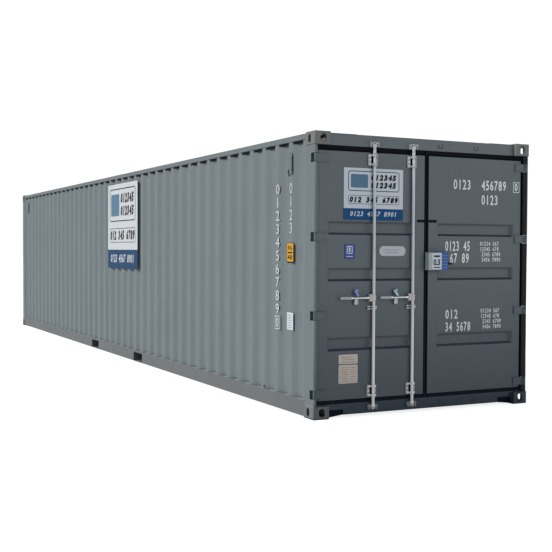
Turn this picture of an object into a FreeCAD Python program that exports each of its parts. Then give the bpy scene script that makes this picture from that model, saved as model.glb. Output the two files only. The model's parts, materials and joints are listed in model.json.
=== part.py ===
"""Forty-foot dry freight container, eight and a half feet high, with two hinged doors at its rear end.

Millimetres, +Z up, +Y towards the closed front end. The origin is the bottom centre of the bounding box.
Every size is a cell of the sheet "Sizes"; in an expression $word reads a cell and @word a named place.
"""
import FreeCAD, Part
import os
import re
import Sketcher

doc = FreeCAD.newDocument("container")

# ---------------------------------------------------------------- driving sizes
SIZES = [
    # overall
    ("length", 12192, "over the corner castings"),
    ("width", 2438, "over the corner castings"),
    ("height", 2591, "over the corner castings"),
    # corner castings
    ("casting_length", 178, "along the container"),
    ("casting_width", 162, "across the container"),
    ("casting_height", 118, "upright"),
    ("casting_wall", 16, "side and end walls"),
    ("casting_plate", 28, "wall that holds the twistlock"),
    ("casting_corner", 8, "radius of the outer edges"),
    ("aperture_inset_side", 89, "side face to the middle of an aperture"),
    ("aperture_inset_end", 103, "end face to the middle of an aperture"),
    ("aperture_long", 124, "twistlock aperture, along"),
    ("aperture_wide", 63.5, "twistlock and end apertures, across"),
    ("aperture_high", 79.5, "side and end apertures, upright"),
    ("aperture_side", 51, "side aperture, along"),
    ("aperture_level", 61, "outer face to the middle of the side and end apertures"),
    # posts
    ("skin_setback", 5, "outer faces of posts and rails behind the castings"),
    ("post_plate", 6, "pressed plate of the posts"),
    ("post_width", 49, "side face to the door opening"),
    ("post_depth", 190, "length of a post's side web"),
    ("post_nose", 22, "side face to the end of the flat nose, where the slanted flange begins"),
    ("post_return", 88, "end face to the end of the inner return"),
    ("post_corner", 9, "outer bend radius"),
    ("channel_web", 12, "thickness of the inner channel"),
    ("channel_depth", 75, "inner channel, along the container"),
    ("front_post_width", 70, "front post's end web"),
    # rails
    ("base_clearance", 12, "ground plane to the underside of the base"),
    ("bottom_rail_height", 150, "bottom side rail"),
    ("bottom_rail_flange", 48, "upper flange"),
    ("bottom_rail_foot", 30, "lower flange"),
    ("bottom_rail_plate", 4.5, "thickness"),
    ("top_rail_height", 48, "top side rail"),
    ("top_rail_width", 60, "top side rail"),
    ("top_rail_wall", 4, "top side rail"),
    ("roof_drop", 11, "casting top to the roof sheet's top"),
    # ends
    ("end_recess", 42, "casting end face to the faces of header and sill"),
    ("header_depth", 98, "rear header, along the container"),
    ("header_plate", 4, "rear header"),
    ("sill_clearance", 24, "ground to the sill's lower edge"),
    ("sill_height", 128, "ground to the sill's front edge"),
    ("sill_flat", 55, "level part of the sill's top, under the door leaves"),
    ("sill_depth", 148, "along the container"),
    ("sill_plate", 6, "pressed plate of the sill"),
    ("notch_length", 172, "cut-out beside each casting"),
    ("notch_top", 73, "ground to the top of that cut-out"),
    ("front_rail_depth", 60, "front sill and front top rail"),
    # corrugated walls
    ("sheet", 2, "wall and roof sheet"),
    ("corrugation_pitch", 287.5, "side wall"),
    ("corrugation_slope", 68, "side wall, length of a slope"),
    ("corrugation_inner", 75.5, "side wall, inner flat"),
    ("corrugation_depth", 36, "side wall"),
    ("corrugation_lead", 30, "least flat at each end of a wall"),
    ("front_pitch", 250, "front wall"),
    ("front_slope", 18, "front wall, width of a slope"),
    ("front_inner", 104, "front wall, inner flat"),
    ("front_depth", 45, "front wall"),
    # roof
    ("roof_pitch", 288, "transverse ribs"),
    ("roof_rib", 150, "mouth of a rib"),
    ("roof_rib_slope", 36, "slope of a rib"),
    ("roof_rib_depth", 20, "depth of a rib"),
    ("roof_margin", 90, "flat beside the ribs"),
    ("corner_plate_width", 300, "roof corner plate"),
    ("corner_plate", 3, "thickness of a roof corner plate"),
    # base
    ("member_height", 122, "cross member"),
    ("member_flange", 45, "cross member"),
    ("member_plate", 4, "cross member"),
    ("member_spacing", 390, "least distance between cross members"),
    ("member_lift", 5, "base underside to a cross member's underside"),
    ("floor_board", 28, "plywood floor"),
    ("floor_margin", 2, "floor edge to the bottom rail's flange"),
    ("pocket_width", 360, "forklift pocket"),
    ("pocket_height", 115, "forklift pocket"),
    ("pocket_spacing", 2050, "between the middles of the forklift pockets"),
    ("pocket_shift", 130, "how far the pair of pockets stands nearer to the doors than to the front"),
    ("pocket_plate", 6, "forklift pocket"),
    # fittings on the walls
    ("vent_width", 90, "ventilator"),
    ("vent_height", 197, "ventilator"),
    ("vent_level", 2231, "ground to its lower edge"),
    ("vent_thickness", 5, "ventilator"),
    ("holdback_distance", 1036, "rear face to the door tie-back ring"),
    ("holdback_rise", 34, "door tie-back ring"),
    # door leaves
    ("leaf_recess", 40, "casting end face to a leaf's outer face"),
    ("leaf_depth", 50, "door frame"),
    ("leaf_bottom_gap", 36, "sill to a leaf's lower edge"),
    ("leaf_top_gap", 50, "header to a leaf's upper edge"),
    ("leaf_side_gap", 23, "post to a leaf's edge"),
    ("seam_left", 12, "middle plane to the left leaf's edge"),
    ("seam_right", 38, "middle plane to the right leaf's edge"),
    ("hinge_stile", 85, "door frame, hinge side"),
    ("seam_stile", 100, "door frame, seam side"),
    ("leaf_rail", 100, "door frame, top and bottom"),
    ("stile_wall", 4, "door frame"),
    ("groove_low", 670, "ground to the middle of the lowest groove"),
    ("groove_middle", 1305, "ground to the middle of the next groove"),
    ("groove_high", 1728, "ground to the middle of the highest groove"),
    ("groove_height", 126, "mouth of a groove"),
    ("groove_slope", 22, "upper and lower slopes"),
    ("groove_end_slope", 30, "end slopes"),
    ("groove_depth", 34, "depth of a groove"),
    ("groove_margin", 5, "stile to a groove's end"),
    # gaskets
    ("gasket_gap", 5, "gasket to the frame around it"),
    ("gasket_front", 10, "leaf face to the gasket's front"),
    ("gasket_depth", 30, "gasket, along the container"),
    ("gasket_left_lip", 5, "left leaf's lip at the seam"),
    ("gasket_seam_gap", 9, "between the two lips"),
    # hinges
    ("pin_inset", 16.5, "pin to the side face and to the end face"),
    ("pin_radius", 5, "hinge pin"),
    ("pin_clearance", 0.3, "radial, in a knuckle"),
    ("lug_clearance", 0.1, "radial, in a lug"),
    ("knuckle_radius", 12, "hinge knuckle"),
    ("blade_height", 78, "hinge blade"),
    ("blade_thickness", 10, "hinge blade"),
    ("blade_reach", 74, "how far a blade reaches over its leaf"),
    ("window_gap", 2, "blade to the edges of its window"),
    ("window_depth", 50, "end face to the end of a window in the post's inner return"),
    ("window_reach", 82, "end face to the end of a window in the post's side web"),
    ("lug_plate", 12, "lug inside the post"),
    ("hinge_low", 225, "ground to the lowest hinge"),
    ("hinge_step", 710, "between hinges"),
    # locking gear
    ("rod_radius", 17, "lock rod"),
    ("rod_outer", 582, "middle plane to the outer rod"),
    ("rod_inner", 152, "middle plane to the inner rod"),
    ("rod_gap", 6, "leaf face to the back of a rod"),
    ("rod_overlap", 44, "how far a rod reaches over the header"),
    ("rod_bottom", 64, "ground to a rod's lower end"),
    ("rod_clearance", 0.8, "radial, in a bracket"),
    ("cam_reach", 38, "rod axis to the cam's tip"),
    ("cam_height", 30, "cam"),
    ("collar_height", 12, "collar on a rod"),
    ("collar_radius", 20, "collar on a rod"),
    ("bracket_strap", 3, "bracket plate and strap"),
    ("bracket_half_width", 48, "bracket plate"),
    ("bracket_height", 110, "end bracket"),
    ("bracket_inset", 12, "leaf edge to an end bracket"),
    ("guide_height", 42, "middle bracket"),
    ("guide_level", 977, "ground to the middle bracket"),
    ("keeper_prong", 10, "keeper prong"),
    ("keeper_height", 50, "keeper prong"),
    ("keeper_drop", 6, "how far a keeper stands past its rod's end"),
    ("keeper_left", 48, "rod axis to the left prong"),
    ("keeper_right", 26, "rod axis to the right prong"),
    ("keeper_tip", 5, "casting end face to a prong's tip"),
    # handles
    ("handle_level", 1090, "ground to a handle's middle"),
    ("handle_length", 312, "pivot to the tip's middle"),
    ("handle_height", 26, "handle bar"),
    ("handle_thickness", 12, "handle bar"),
    ("handle_back", 24, "leaf face to a handle's back"),
    ("grip_length", 115, "handle grip"),
    ("grip_swell", 3, "how far the grip stands out on each side"),
    ("pivot_offset", 38, "rod axis to a handle's pivot"),
    ("pivot_radius", 6, "handle pivot"),
    ("eye_radius", 14, "handle eye"),
    ("cheek_plate", 5, "front cheek of a hub"),
    ("cheek_gap", 0.5, "handle to a cheek"),
    ("hub_height", 70, "hub"),
    ("catch_offset", 188, "rod axis to a handle's catch"),
    ("catch_width", 50, "catch plate"),
    ("catch_height", 130, "catch plate"),
    ("catch_plate", 4, "catch plate"),
    ("catch_gap", 5, "handle to the cradle under it"),
    ("cradle_height", 26, "catch cradle"),
    ("seal_hole_radius", 7, "hole for a customs seal"),
    ("seam_strip_reach", 80, "strip beside the seam"),
    ("seam_strip_height", 25, "strip beside the seam"),
    ("seam_strip_level", 1806, "ground to the strip's middle"),
    ("strip_thickness", 3, "strip beside the seam"),
    # lock box on the right leaf
    ("lock_overhang", 20, "how far the lock box stands past the castings"),
    ("lock_left", 0, "middle plane to the lock box"),
    ("lock_width", 225, "lock box"),
    ("lock_level", 1342, "ground to its lower edge"),
    ("lock_height", 168, "lock box"),
    ("lock_plate", 5, "lock box"),
    ("bolt_radius", 11, "bolt end beside the lock box"),
    ("bolt_length", 62, "bolt end beside the lock box"),
    ("bolt_level", 1403, "ground to the bolt's axis"),
]

# ---------------------------------------------------------------- named places, worked out from the sizes
PLACES = {
    "half": "$width / 2",
    "rear": "-($length - $lock_overhang) / 2",
    "front": "@rear + $length",
    "middle": "@rear + $length / 2",
    "post_top": "$height - $casting_height",
    "castings_inner": "@half - $casting_width",
    "opening_half": "@half - $post_width",
    "base": "$base_clearance",
    "rail_top": "@base + $bottom_rail_height",
    "roof_under": "$height - $roof_drop - $sheet",
    "top_rail_under": "@roof_under - $top_rail_height",
    "floor_under": "@base + $member_lift + $member_height",
    "floor_top": "@floor_under + $floor_board",
    "sill_rear": "@rear + $end_recess + $sill_depth",
    "front_rail_inner": "@front - $skin_setback - $front_rail_depth",
    "wall_plane": "$skin_setback + $post_plate",
    "wall_length": "$length - 2 * $casting_length",
    "outer_flat": "$corrugation_pitch - 2 * $corrugation_slope - $corrugation_inner",
    "corrugations": "floor((@wall_length - 2 * $corrugation_lead + @outer_flat) / $corrugation_pitch)",
    "wall_lead": "(@wall_length - @corrugations * $corrugation_pitch + @outer_flat) / 2",
    "leaf_face": "@rear + $leaf_recess",
    "leaf_back": "@leaf_face + $leaf_depth",
    "leaf_edge": "@opening_half - $leaf_side_gap",
    "leaf_top": "@post_top - $leaf_top_gap",
    "leaf_bottom": "$sill_height + $leaf_bottom_gap",
    "pin_x": "@half - $pin_inset",
    "pin_y": "@rear + $pin_inset",
    "rod_y": "@leaf_face - $rod_gap - $rod_radius",
    "handle_back_y": "@leaf_face - $handle_back",
    "lock_face": "@rear - $lock_overhang",
}


def expand(text):
    """The expression with each @place and $cell written out."""
    while "@" in text:
        text = re.sub(r"@(\w+)", lambda found: f"({PLACES[found.group(1)]})", text)
    return re.sub(r"\$(\w+)", r"Sizes.\1", text)


def write_sizes():
    """The sheet of driving sizes, one named cell in each row."""
    page = doc.addObject("Spreadsheet::Sheet", "Sizes")
    for row, (alias, number, note) in enumerate(SIZES, start=1):
        page.set(f"A{row}", alias)
        page.set(f"B{row}", str(number))
        page.set(f"C{row}", note)
        page.setAlias(f"B{row}", alias)
    doc.recompute()
    return page


sheet = write_sizes()


def value(text):
    """The number that an expression gives now."""
    return float(sheet.evalExpression(expand(str(text))))


def bind(piece, prop, text):
    """Tie one property of a piece to an expression."""
    piece.setExpression(prop, expand(str(text)))


# ---------------------------------------------------------------- ways of making a piece
def slab(name, across, along, upright):
    """A rectangular block between the low and high expressions of its three directions."""
    piece = doc.addObject("Part::Box", name)
    spans = zip(("Length", "Width", "Height"), "xyz", (across, along, upright))
    for prop, axis, (low, high) in spans:
        bind(piece, prop, f"({high}) - ({low})")
        bind(piece, f".Placement.Base.{axis}", low)
    return piece


TURNS = {
    "x": FreeCAD.Rotation(FreeCAD.Vector(0, 1, 0), 90),
    "y": FreeCAD.Rotation(FreeCAD.Vector(1, 0, 0), -90),
    "z": FreeCAD.Rotation(),
}


def round_bar(name, axis, start, radius, run):
    """A cylinder that runs along an axis from its start point."""
    piece = doc.addObject("Part::Cylinder", name)
    piece.Placement = FreeCAD.Placement(FreeCAD.Vector(), TURNS[axis])
    bind(piece, "Radius", radius)
    bind(piece, "Height", run)
    for letter, place in zip("xyz", start):
        bind(piece, f".Placement.Base.{letter}", place)
    return piece


def tapered(name, mouth, floor_, along):
    """A block whose section tapers along Y: (x low, x high, z low, z high) at each end."""
    piece = doc.addObject("Part::Wedge", name)
    cells = {"Xmin": mouth[0], "Xmax": mouth[1], "Zmin": mouth[2], "Zmax": mouth[3],
             "X2min": floor_[0], "X2max": floor_[1], "Z2min": floor_[2], "Z2max": floor_[3],
             "Ymin": along[0], "Ymax": along[1]}
    for prop, text in cells.items():
        setattr(piece, prop, value(text))
        bind(piece, prop, text)
    return piece


def fuse(name, pieces):
    """One solid from pieces that meet."""
    whole = doc.addObject("Part::MultiFuse", name)
    whole.Shapes = pieces
    whole.Refine = True
    return whole


def cut(name, base, tools):
    """A piece with one or more others taken out of it."""
    tool = tools[0] if len(tools) == 1 else gather(name + "_tools", tools)
    result = doc.addObject("Part::Cut", name)
    result.Base = base
    result.Tool = tool
    return result


def gather(name, pieces):
    """Separate solids kept together under one name."""
    group = doc.addObject("Part::Compound", name)
    group.Links = pieces
    return group


def mirror_side(name, source):
    """The same piece on the other side of the middle plane."""
    copy = doc.addObject("Part::Mirroring", name)
    copy.Source = source
    copy.Normal = FreeCAD.Vector(1, 0, 0)
    return copy


def mirror_end(name, source):
    """The same piece at the other end of the container."""
    copy = doc.addObject("Part::Mirroring", name)
    copy.Source = source
    copy.Normal = FreeCAD.Vector(0, 1, 0)
    bind(copy, ".Base.y", "@middle")
    return copy


def mirror_level(name, source):
    """The same piece turned over about the container's half height."""
    copy = doc.addObject("Part::Mirroring", name)
    copy.Source = source
    copy.Normal = FreeCAD.Vector(0, 0, 1)
    bind(copy, ".Base.z", "$height / 2")
    return copy


def body_plane(body, role):
    """An origin plane or axis of a body, found by its role."""
    return next(item for item in body.Origin.OriginFeatures if item.Role == role)


def outline(body, role, corners):
    """A closed sketch whose corners are pairs of expressions, on one of the body's origin planes."""
    sketch = body.newObject("Sketcher::SketchObject", body.Name + "_outline")
    sketch.AttachmentSupport = [(body_plane(body, role), "")]
    sketch.MapMode = "FlatFace"
    points = [FreeCAD.Vector(value(first), value(second), 0) for first, second in corners]
    count = len(points)
    for index, point in enumerate(points):
        sketch.addGeometry(Part.LineSegment(point, points[(index + 1) % count]), False)
    for index in range(count):
        sketch.addConstraint(Sketcher.Constraint("Coincident", index, 2, (index + 1) % count, 1))
    for index, corner in enumerate(corners):
        for kind, text in zip(("DistanceX", "DistanceY"), corner):
            number = sketch.addConstraint(Sketcher.Constraint(kind, -1, 1, index, 1, value(text)))
            bind(sketch, f"Constraints[{number}]", text)
    return sketch


def padded(name, role, corners, run, start, turned=False):
    """A body padded from an outline; its own zero point stands at start."""
    body = doc.addObject("PartDesign::Body", name)
    pad = body.newObject("PartDesign::Pad", name + "_pad")
    pad.Profile = outline(body, role, corners)
    pad.Reversed = turned
    bind(pad, "Length", run)
    for letter, place in zip("xyz", start):
        bind(body, f".Placement.Base.{letter}", place)
    body.Tip = pad
    return body


def repeat(body, role, distance, count):
    """Repeat a body's pad along one of its axes; distance runs from the first to the last."""
    pattern = body.newObject("PartDesign::LinearPattern", body.Name + "_pattern")
    pattern.Originals = [body.Tip]
    pattern.Direction = (body_plane(body, role), [""])
    bind(pattern, "Length", distance)
    bind(pattern, "Occurrences", count)
    body.Tip = pattern
    return body


def rounded(name, source, picks, radius):
    """A piece with some of its straight edges rounded; picks tells which."""
    doc.recompute()
    size = value(radius)
    result = doc.addObject("Part::Fillet", name)
    result.Base = source
    result.Edges = [(number, size, size) for number, edge in enumerate(source.Shape.Edges, start=1)
                    if picks(edge)]
    return result


def edge_at(edge, **places):
    """Whether both ends of an edge lie at the given coordinates."""
    ends = [vertex.Point for vertex in edge.Vertexes]
    return all(abs(getattr(end, letter) - place) < 0.01
               for end in ends for letter, place in places.items())


NODES = []


def node(piece, label):
    """Name a finished sub-part; the name is also its file's name."""
    piece.Label = label
    NODES.append(piece)
    return piece


# ---------------------------------------------------------------- corner castings
def corner_casting():
    """The lower casting at the rear left corner: a hollow block with three apertures."""
    block = slab("casting_block", ("-@half", "-@castings_inner"), ("@rear", "@rear + $casting_length"),
                 ("0", "$casting_height"))
    doc.recompute()
    side, end = value("-@half"), value("@rear")
    block = rounded("casting_rounded", block,
                    lambda edge: edge_at(edge, x=side, y=end) or edge_at(edge, x=side, z=0)
                    or edge_at(edge, y=end, z=0), "$casting_corner")
    hollow = slab("casting_hollow", ("-@half + $casting_wall", "-@castings_inner - $casting_wall"),
                  ("@rear + $casting_wall", "@rear + $casting_length - $casting_wall"),
                  ("$casting_plate", "$casting_height - $casting_wall"))
    return cut("casting", block, [hollow] + casting_apertures())


def casting_apertures():
    """Round-ended holes through the bottom plate, the end wall and the side wall."""
    x_middle, y_middle = "-@half + $aperture_inset_side", "@rear + $aperture_inset_end"
    holes = []
    reach = "2 * $casting_plate"
    half_long, half_high = "($aperture_long - $aperture_wide) / 2", "$aperture_high / 2"
    for sign in "-+":
        holes.append(round_bar("aperture_end", "z", (x_middle, f"{y_middle} {sign} {half_long}",
                                                     "-$casting_plate"), "$aperture_wide / 2", reach))
    holes.append(slab("aperture_body",
                      (f"{x_middle} - $aperture_wide / 2", f"{x_middle} + $aperture_wide / 2"),
                      (f"{y_middle} - {half_long}", f"{y_middle} + {half_long}"),
                      ("-$casting_plate", "$casting_plate")))
    for width, axis in (("$aperture_wide", "y"), ("$aperture_side", "x")):
        offset = f"({half_high} - {width} / 2)"
        for sign in "-+":
            level = f"$aperture_level {sign} {offset}"
            start = {"y": (x_middle, "@rear - $casting_wall", level),
                     "x": ("-@half - $casting_wall", y_middle, level)}[axis]
            holes.append(round_bar("aperture_end", axis, start, f"{width} / 2", "2 * $casting_wall"))
        upright = (f"$aperture_level - {offset}", f"$aperture_level + {offset}")
        if axis == "y":
            holes.append(slab("aperture_body", (f"{x_middle} - {width} / 2", f"{x_middle} + {width} / 2"),
                              ("@rear - $casting_wall", "@rear + $casting_wall"), upright))
        else:
            holes.append(slab("aperture_body", ("-@half - $casting_wall", "-@half + $casting_wall"),
                              (f"{y_middle} - {width} / 2", f"{y_middle} + {width} / 2"), upright))
    return [fuse("casting_holes", holes)]


def four_corners(name, source):
    """A piece at the rear left corner, and its three mirror images."""
    right = mirror_side(name + "_right", source)
    front = mirror_end(name + "_front", source)
    far = mirror_end(name + "_far", right)
    return gather(name, [source, right, front, far])


casting = corner_casting()
node(four_corners("lower_set", casting), "bottom_castings")
node(four_corners("upper_set", mirror_level("upper_casting", casting)), "top_castings")


# ---------------------------------------------------------------- posts
def hinge_level(index):
    """Height of one hinge's middle."""
    return f"$hinge_low + {index} * $hinge_step"


HINGE_COUNT = 4


def above_rail(name, end, sign):
    """The block that keeps a post's web clear of the bottom rail; end is the container's end there."""
    span = (f"{end} {sign} $casting_length", f"{end} {sign} ($post_depth + 1)")
    return slab(name, ("-@half", "-@half + @wall_plane"), span if sign == "+" else span[::-1],
                ("@base", "@rail_top"))


def post_hollow():
    """Corners of the post's inside behind its nose: the flat, both ends of the slant and the return."""
    inner, fold = "$skin_setback + $post_plate", "(sqrt(2) - 1) * $post_plate"
    return [(inner, inner), (f"$post_nose - {fold}", inner),
            ("$post_width - $post_plate", f"$skin_setback + $post_width - $post_nose + {fold}")]


def rear_post():
    """The pressed outer plate of the rear left post, with a window at each hinge."""
    inner = "$skin_setback + $post_plate"
    corners = [("$skin_setback", "$skin_setback"), ("$post_nose", "$skin_setback"),
               ("$post_width", "$skin_setback + $post_width - $post_nose"),
               ("$post_width", "$post_return"), ("$post_width - $post_plate", "$post_return"),
               *reversed(post_hollow()), (inner, "$post_depth"), ("$skin_setback", "$post_depth")]
    blank = padded("post_blank", "XY_Plane", corners, "@post_top - $casting_height",
                   ("-@half", "@rear", "$casting_height"))
    doc.recompute()
    side, end = value("-@half + $skin_setback"), value("@rear + $skin_setback")
    smooth = rounded("post_rounded", blank, lambda edge: edge_at(edge, x=side, y=end), "$post_corner")
    windows = []
    for index in range(HINGE_COUNT):
        level = (f"{hinge_level(index)} - $blade_height / 2 - $window_gap",
                 f"{hinge_level(index)} + $blade_height / 2 + $window_gap")
        for reach, depth in (("$post_width + 1", "$window_depth"), (inner, "$window_reach")):
            windows.append(slab("hinge_window", ("-@half - $post_plate", f"-@half + {reach}"),
                                ("@rear - $post_plate", f"@rear + {depth}"), level))
    return cut("post_with_windows", smooth, windows + [above_rail("rear_relief", "@rear", "+")])


def post_channel():
    """The rolled channel that closes the inside of the rear left post."""
    inner = "$skin_setback + $post_plate"
    far = "$post_return + $channel_depth"
    corners = [("$post_width", "$post_return"), ("$post_width", far), (inner, far),
               (inner, f"{far} - $channel_web"), ("$post_width - $channel_web", f"{far} - $channel_web"),
               ("$post_width - $channel_web", "$post_return + $channel_web"),
               (inner, "$post_return + $channel_web"), (inner, "$post_return")]
    return padded("channel", "XY_Plane", corners, "@post_top - $casting_height",
                  ("-@half", "@rear", "$casting_height"))


def front_post():
    """The pressed post at the front left corner."""
    inner = "$skin_setback + $post_plate"
    corners = [("$skin_setback", "-$skin_setback"), ("$front_post_width", "-$skin_setback"),
               ("$front_post_width", f"-({inner})"), (inner, f"-({inner})"),
               (inner, "-$post_depth"), ("$skin_setback", "-$post_depth")]
    blank = padded("front_post_blank", "XY_Plane", corners, "@post_top - $casting_height",
                   ("-@half", "@front", "$casting_height"))
    return cut("front_post_left", blank, [above_rail("front_relief", "@front", "-")])


post = rear_post()
node(post, "rear_post_left")
node(mirror_side("post_mirrored", post), "rear_post_right")
channel = post_channel()
node(gather("channels", [channel, mirror_side("channel_right", channel)]), "post_channels")
corner = front_post()
node(gather("front_corner_posts", [corner, mirror_side("front_post_right", corner)]), "front_posts")


# ---------------------------------------------------------------- rails, header and sill
def pocket_middle(sign):
    """Middle of one forklift pocket along the container."""
    return f"@middle - $pocket_shift {sign} $pocket_spacing / 2"


def pocket_block(name, across, wall):
    """A block through a forklift pocket; wall is added all round."""
    blocks = []
    for sign in "-+":
        half_width = f"($pocket_width / 2 + {wall})"
        blocks.append(slab(name, across, (f"{pocket_middle(sign)} - {half_width}",
                                          f"{pocket_middle(sign)} + {half_width}"),
                           (f"@base + $pocket_plate - {wall}",
                            f"@base + $pocket_plate + $pocket_height + {wall}")))
    return blocks


def bottom_rail():
    """The left bottom side rail: a channel, open inwards, cut for the forklift pockets."""
    web, plate = "$skin_setback + $bottom_rail_plate", "$bottom_rail_plate"
    corners = [("$skin_setback", "0"), ("$skin_setback + $bottom_rail_foot", "0"),
               ("$skin_setback + $bottom_rail_foot", plate), (web, plate),
               (web, f"$bottom_rail_height - {plate}"),
               ("$skin_setback + $bottom_rail_flange", f"$bottom_rail_height - {plate}"),
               ("$skin_setback + $bottom_rail_flange", "$bottom_rail_height"),
               ("$skin_setback", "$bottom_rail_height")]
    rail = padded("bottom_rail", "XZ_Plane", corners, "@wall_length",
                  ("-@half", "@rear + $casting_length", "@base"), turned=True)
    openings = pocket_block("rail_opening", ("-@half", "-@half + 2 * $bottom_rail_flange"), "$pocket_plate")
    return cut("bottom_rail_cut", rail, openings)


def tube(name, across, along, upright, wall, through):
    """A rectangular tube that is open at both ends along one axis."""
    spans = {"x": across, "y": along, "z": upright}
    outer = slab(name + "_outer", across, along, upright)
    inner = {letter: (low, high) if letter == through else (f"{low} + {wall}", f"{high} - {wall}")
             for letter, (low, high) in spans.items()}
    return cut(name, outer, [slab(name + "_inner", inner["x"], inner["y"], inner["z"])])


def rear_sill():
    """The threshold: an open-bottomed pressing with a cut-out beside each casting."""
    plate, depth, flat = "$sill_plate", "$sill_depth", "$sill_flat"
    slope = f"(@floor_top - $sill_height) / ({depth} - {flat})"
    corners = [("0", "$sill_clearance"), (plate, "$sill_clearance"), (plate, f"$sill_height - {plate}"),
               (flat, f"$sill_height - {plate}"),
               (f"{depth} - {plate}", f"$sill_height - {plate} + {slope} * ({depth} - {plate} - {flat})"),
               (f"{depth} - {plate}", "$sill_clearance"), (depth, "$sill_clearance"),
               (depth, "@floor_top"), (flat, "$sill_height"), ("0", "$sill_height")]
    pressing = padded("sill_pressing", "YZ_Plane", corners, "2 * @castings_inner",
                      ("-@castings_inner", "@rear + $end_recess", "0"))
    steps = [slab("sill_step", span, ("@rear + $end_recess", "@rear + $casting_length"),
                  ("$casting_height", "$sill_height"))
             for span in (("-@opening_half", "-@castings_inner"), ("@castings_inner", "@opening_half"))]
    notches = [slab("sill_notch", span, ("@rear", "@rear + $end_recess + 2 * $sill_plate"),
                    ("0", "$notch_top"))
               for span in (("-@castings_inner", "-@castings_inner + $notch_length"),
                            ("@castings_inner - $notch_length", "@castings_inner"))]
    return cut("sill", fuse("sill_whole", [pressing] + steps), notches)


def front_sill():
    """The rail under the front wall, with a block over each casting."""
    rail = tube("front_rail", ("-@castings_inner", "@castings_inner"),
                ("@front_rail_inner", "@front - $skin_setback"), ("$sill_clearance", "@rail_top"),
                "$header_plate", "x")
    blocks = [slab("front_block", span, ("@front_rail_inner", "@front - @wall_plane"),
                   ("$casting_height", "@rail_top"))
              for span in (("-@half + @wall_plane", "-@castings_inner"),
                           ("@castings_inner", "@half - @wall_plane"))]
    return fuse("front_sill_whole", [rail] + blocks)


rail = bottom_rail()
node(rail, "bottom_rail_left")
node(mirror_side("bottom_rail_mirrored", rail), "bottom_rail_right")
roof_tube = tube("top_rail", ("-@half + $skin_setback", "-@half + $skin_setback + $top_rail_width"),
                 ("@rear + $casting_length", "@front - $casting_length"),
                 ("@top_rail_under", "@roof_under"), "$top_rail_wall", "y")
node(gather("roof_rails", [roof_tube, mirror_side("top_rail_right", roof_tube)]), "top_rails")
node(rear_sill(), "rear_sill")
node(tube("header", ("-@castings_inner", "@castings_inner"),
          ("@rear + $end_recess", "@rear + $end_recess + $header_depth"),
          ("@post_top", "@roof_under"), "$header_plate", "x"), "rear_header")
node(front_sill(), "front_sill")
node(tube("front_header", ("-@castings_inner", "@castings_inner"),
          ("@front_rail_inner", "@front - $skin_setback"),
          ("@post_top", "@roof_under"), "$header_plate", "x"), "front_top_rail")


# ---------------------------------------------------------------- corrugated walls
def side_wall():
    """The left wall: sheet folded into upright corrugations, with a flat at each end."""
    slope, inner, pitch = "$corrugation_slope", "$corrugation_inner", "$corrugation_pitch"
    deep, thick = "$corrugation_depth", "$sheet"
    corners = [("0", "0"), (deep, slope), (deep, f"{slope} + {inner}"), ("0", f"2 * {slope} + {inner}"),
               ("0", pitch), (thick, pitch), (thick, f"2 * {slope} + {inner}"),
               (f"{deep} + {thick}", f"{slope} + {inner}"), (f"{deep} + {thick}", slope), (thick, "0")]
    rise = "@top_rail_under - @rail_top"
    body = padded("wall_folds", "XY_Plane", corners, rise,
                  ("-@half + @wall_plane", "@rear + $casting_length + @wall_lead", "@rail_top"))
    repeat(body, "Y_Axis", f"{pitch} * (@corrugations - 1)", "@corrugations")
    plane = ("-@half + @wall_plane", "-@half + @wall_plane + $sheet")
    level = ("@rail_top", "@top_rail_under")
    start, end = "@rear + $casting_length", "@front - $casting_length"
    head = slab("wall_head", plane, (start, f"{start} + @wall_lead"), level)
    tail = slab("wall_tail", plane, (f"{end} - @wall_lead", end), level)
    beyond = slab("wall_beyond", ("-@half", "-@half + @wall_plane + $corrugation_depth + $sheet"),
                  (end, f"{end} + {pitch}"), level)
    return cut("wall_trimmed", fuse("wall_whole", [body, head, tail]), [beyond])


def front_wall():
    """The front wall: deeper, narrower corrugations between the front posts."""
    slope, inner, pitch = "$front_slope", "$front_inner", "$front_pitch"
    deep, thick = "$front_depth", "$sheet"
    span = "(2 * (@half - $front_post_width / 2))"
    folds = f"floor({span} / {pitch})"
    lead = f"({span} - {folds} * {pitch} + ({pitch} - 2 * {slope} - {inner})) / 2"
    start = "-@half + $front_post_width / 2"
    corners = [("0", "0"), (slope, f"-{deep}"), (f"{slope} + {inner}", f"-{deep}"),
               (f"2 * {slope} + {inner}", "0"), (pitch, "0"), (pitch, f"-{thick}"),
               (f"2 * {slope} + {inner}", f"-{thick}"), (f"{slope} + {inner}", f"-({deep} + {thick})"),
               (slope, f"-({deep} + {thick})"), ("0", f"-{thick}")]
    body = padded("front_folds", "XY_Plane", corners, "@post_top - @rail_top",
                  (f"{start} + {lead}", "@front - @wall_plane", "@rail_top"))
    repeat(body, "X_Axis", f"{pitch} * ({folds} - 1)", folds)
    plane = ("@front - @wall_plane - $sheet", "@front - @wall_plane")
    level = ("@rail_top", "@post_top")
    head = slab("front_head", (start, f"{start} + {lead}"), plane, level)
    tail = slab("front_tail", (f"-({start}) - {lead}", f"-({start})"), plane, level)
    beyond = slab("front_beyond", (f"-({start})", f"-({start}) + {pitch}"),
                  ("@front - 2 * $front_depth", "@front"), level)
    return cut("front_trimmed", fuse("front_whole", [body, head, tail]), [beyond])


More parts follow.
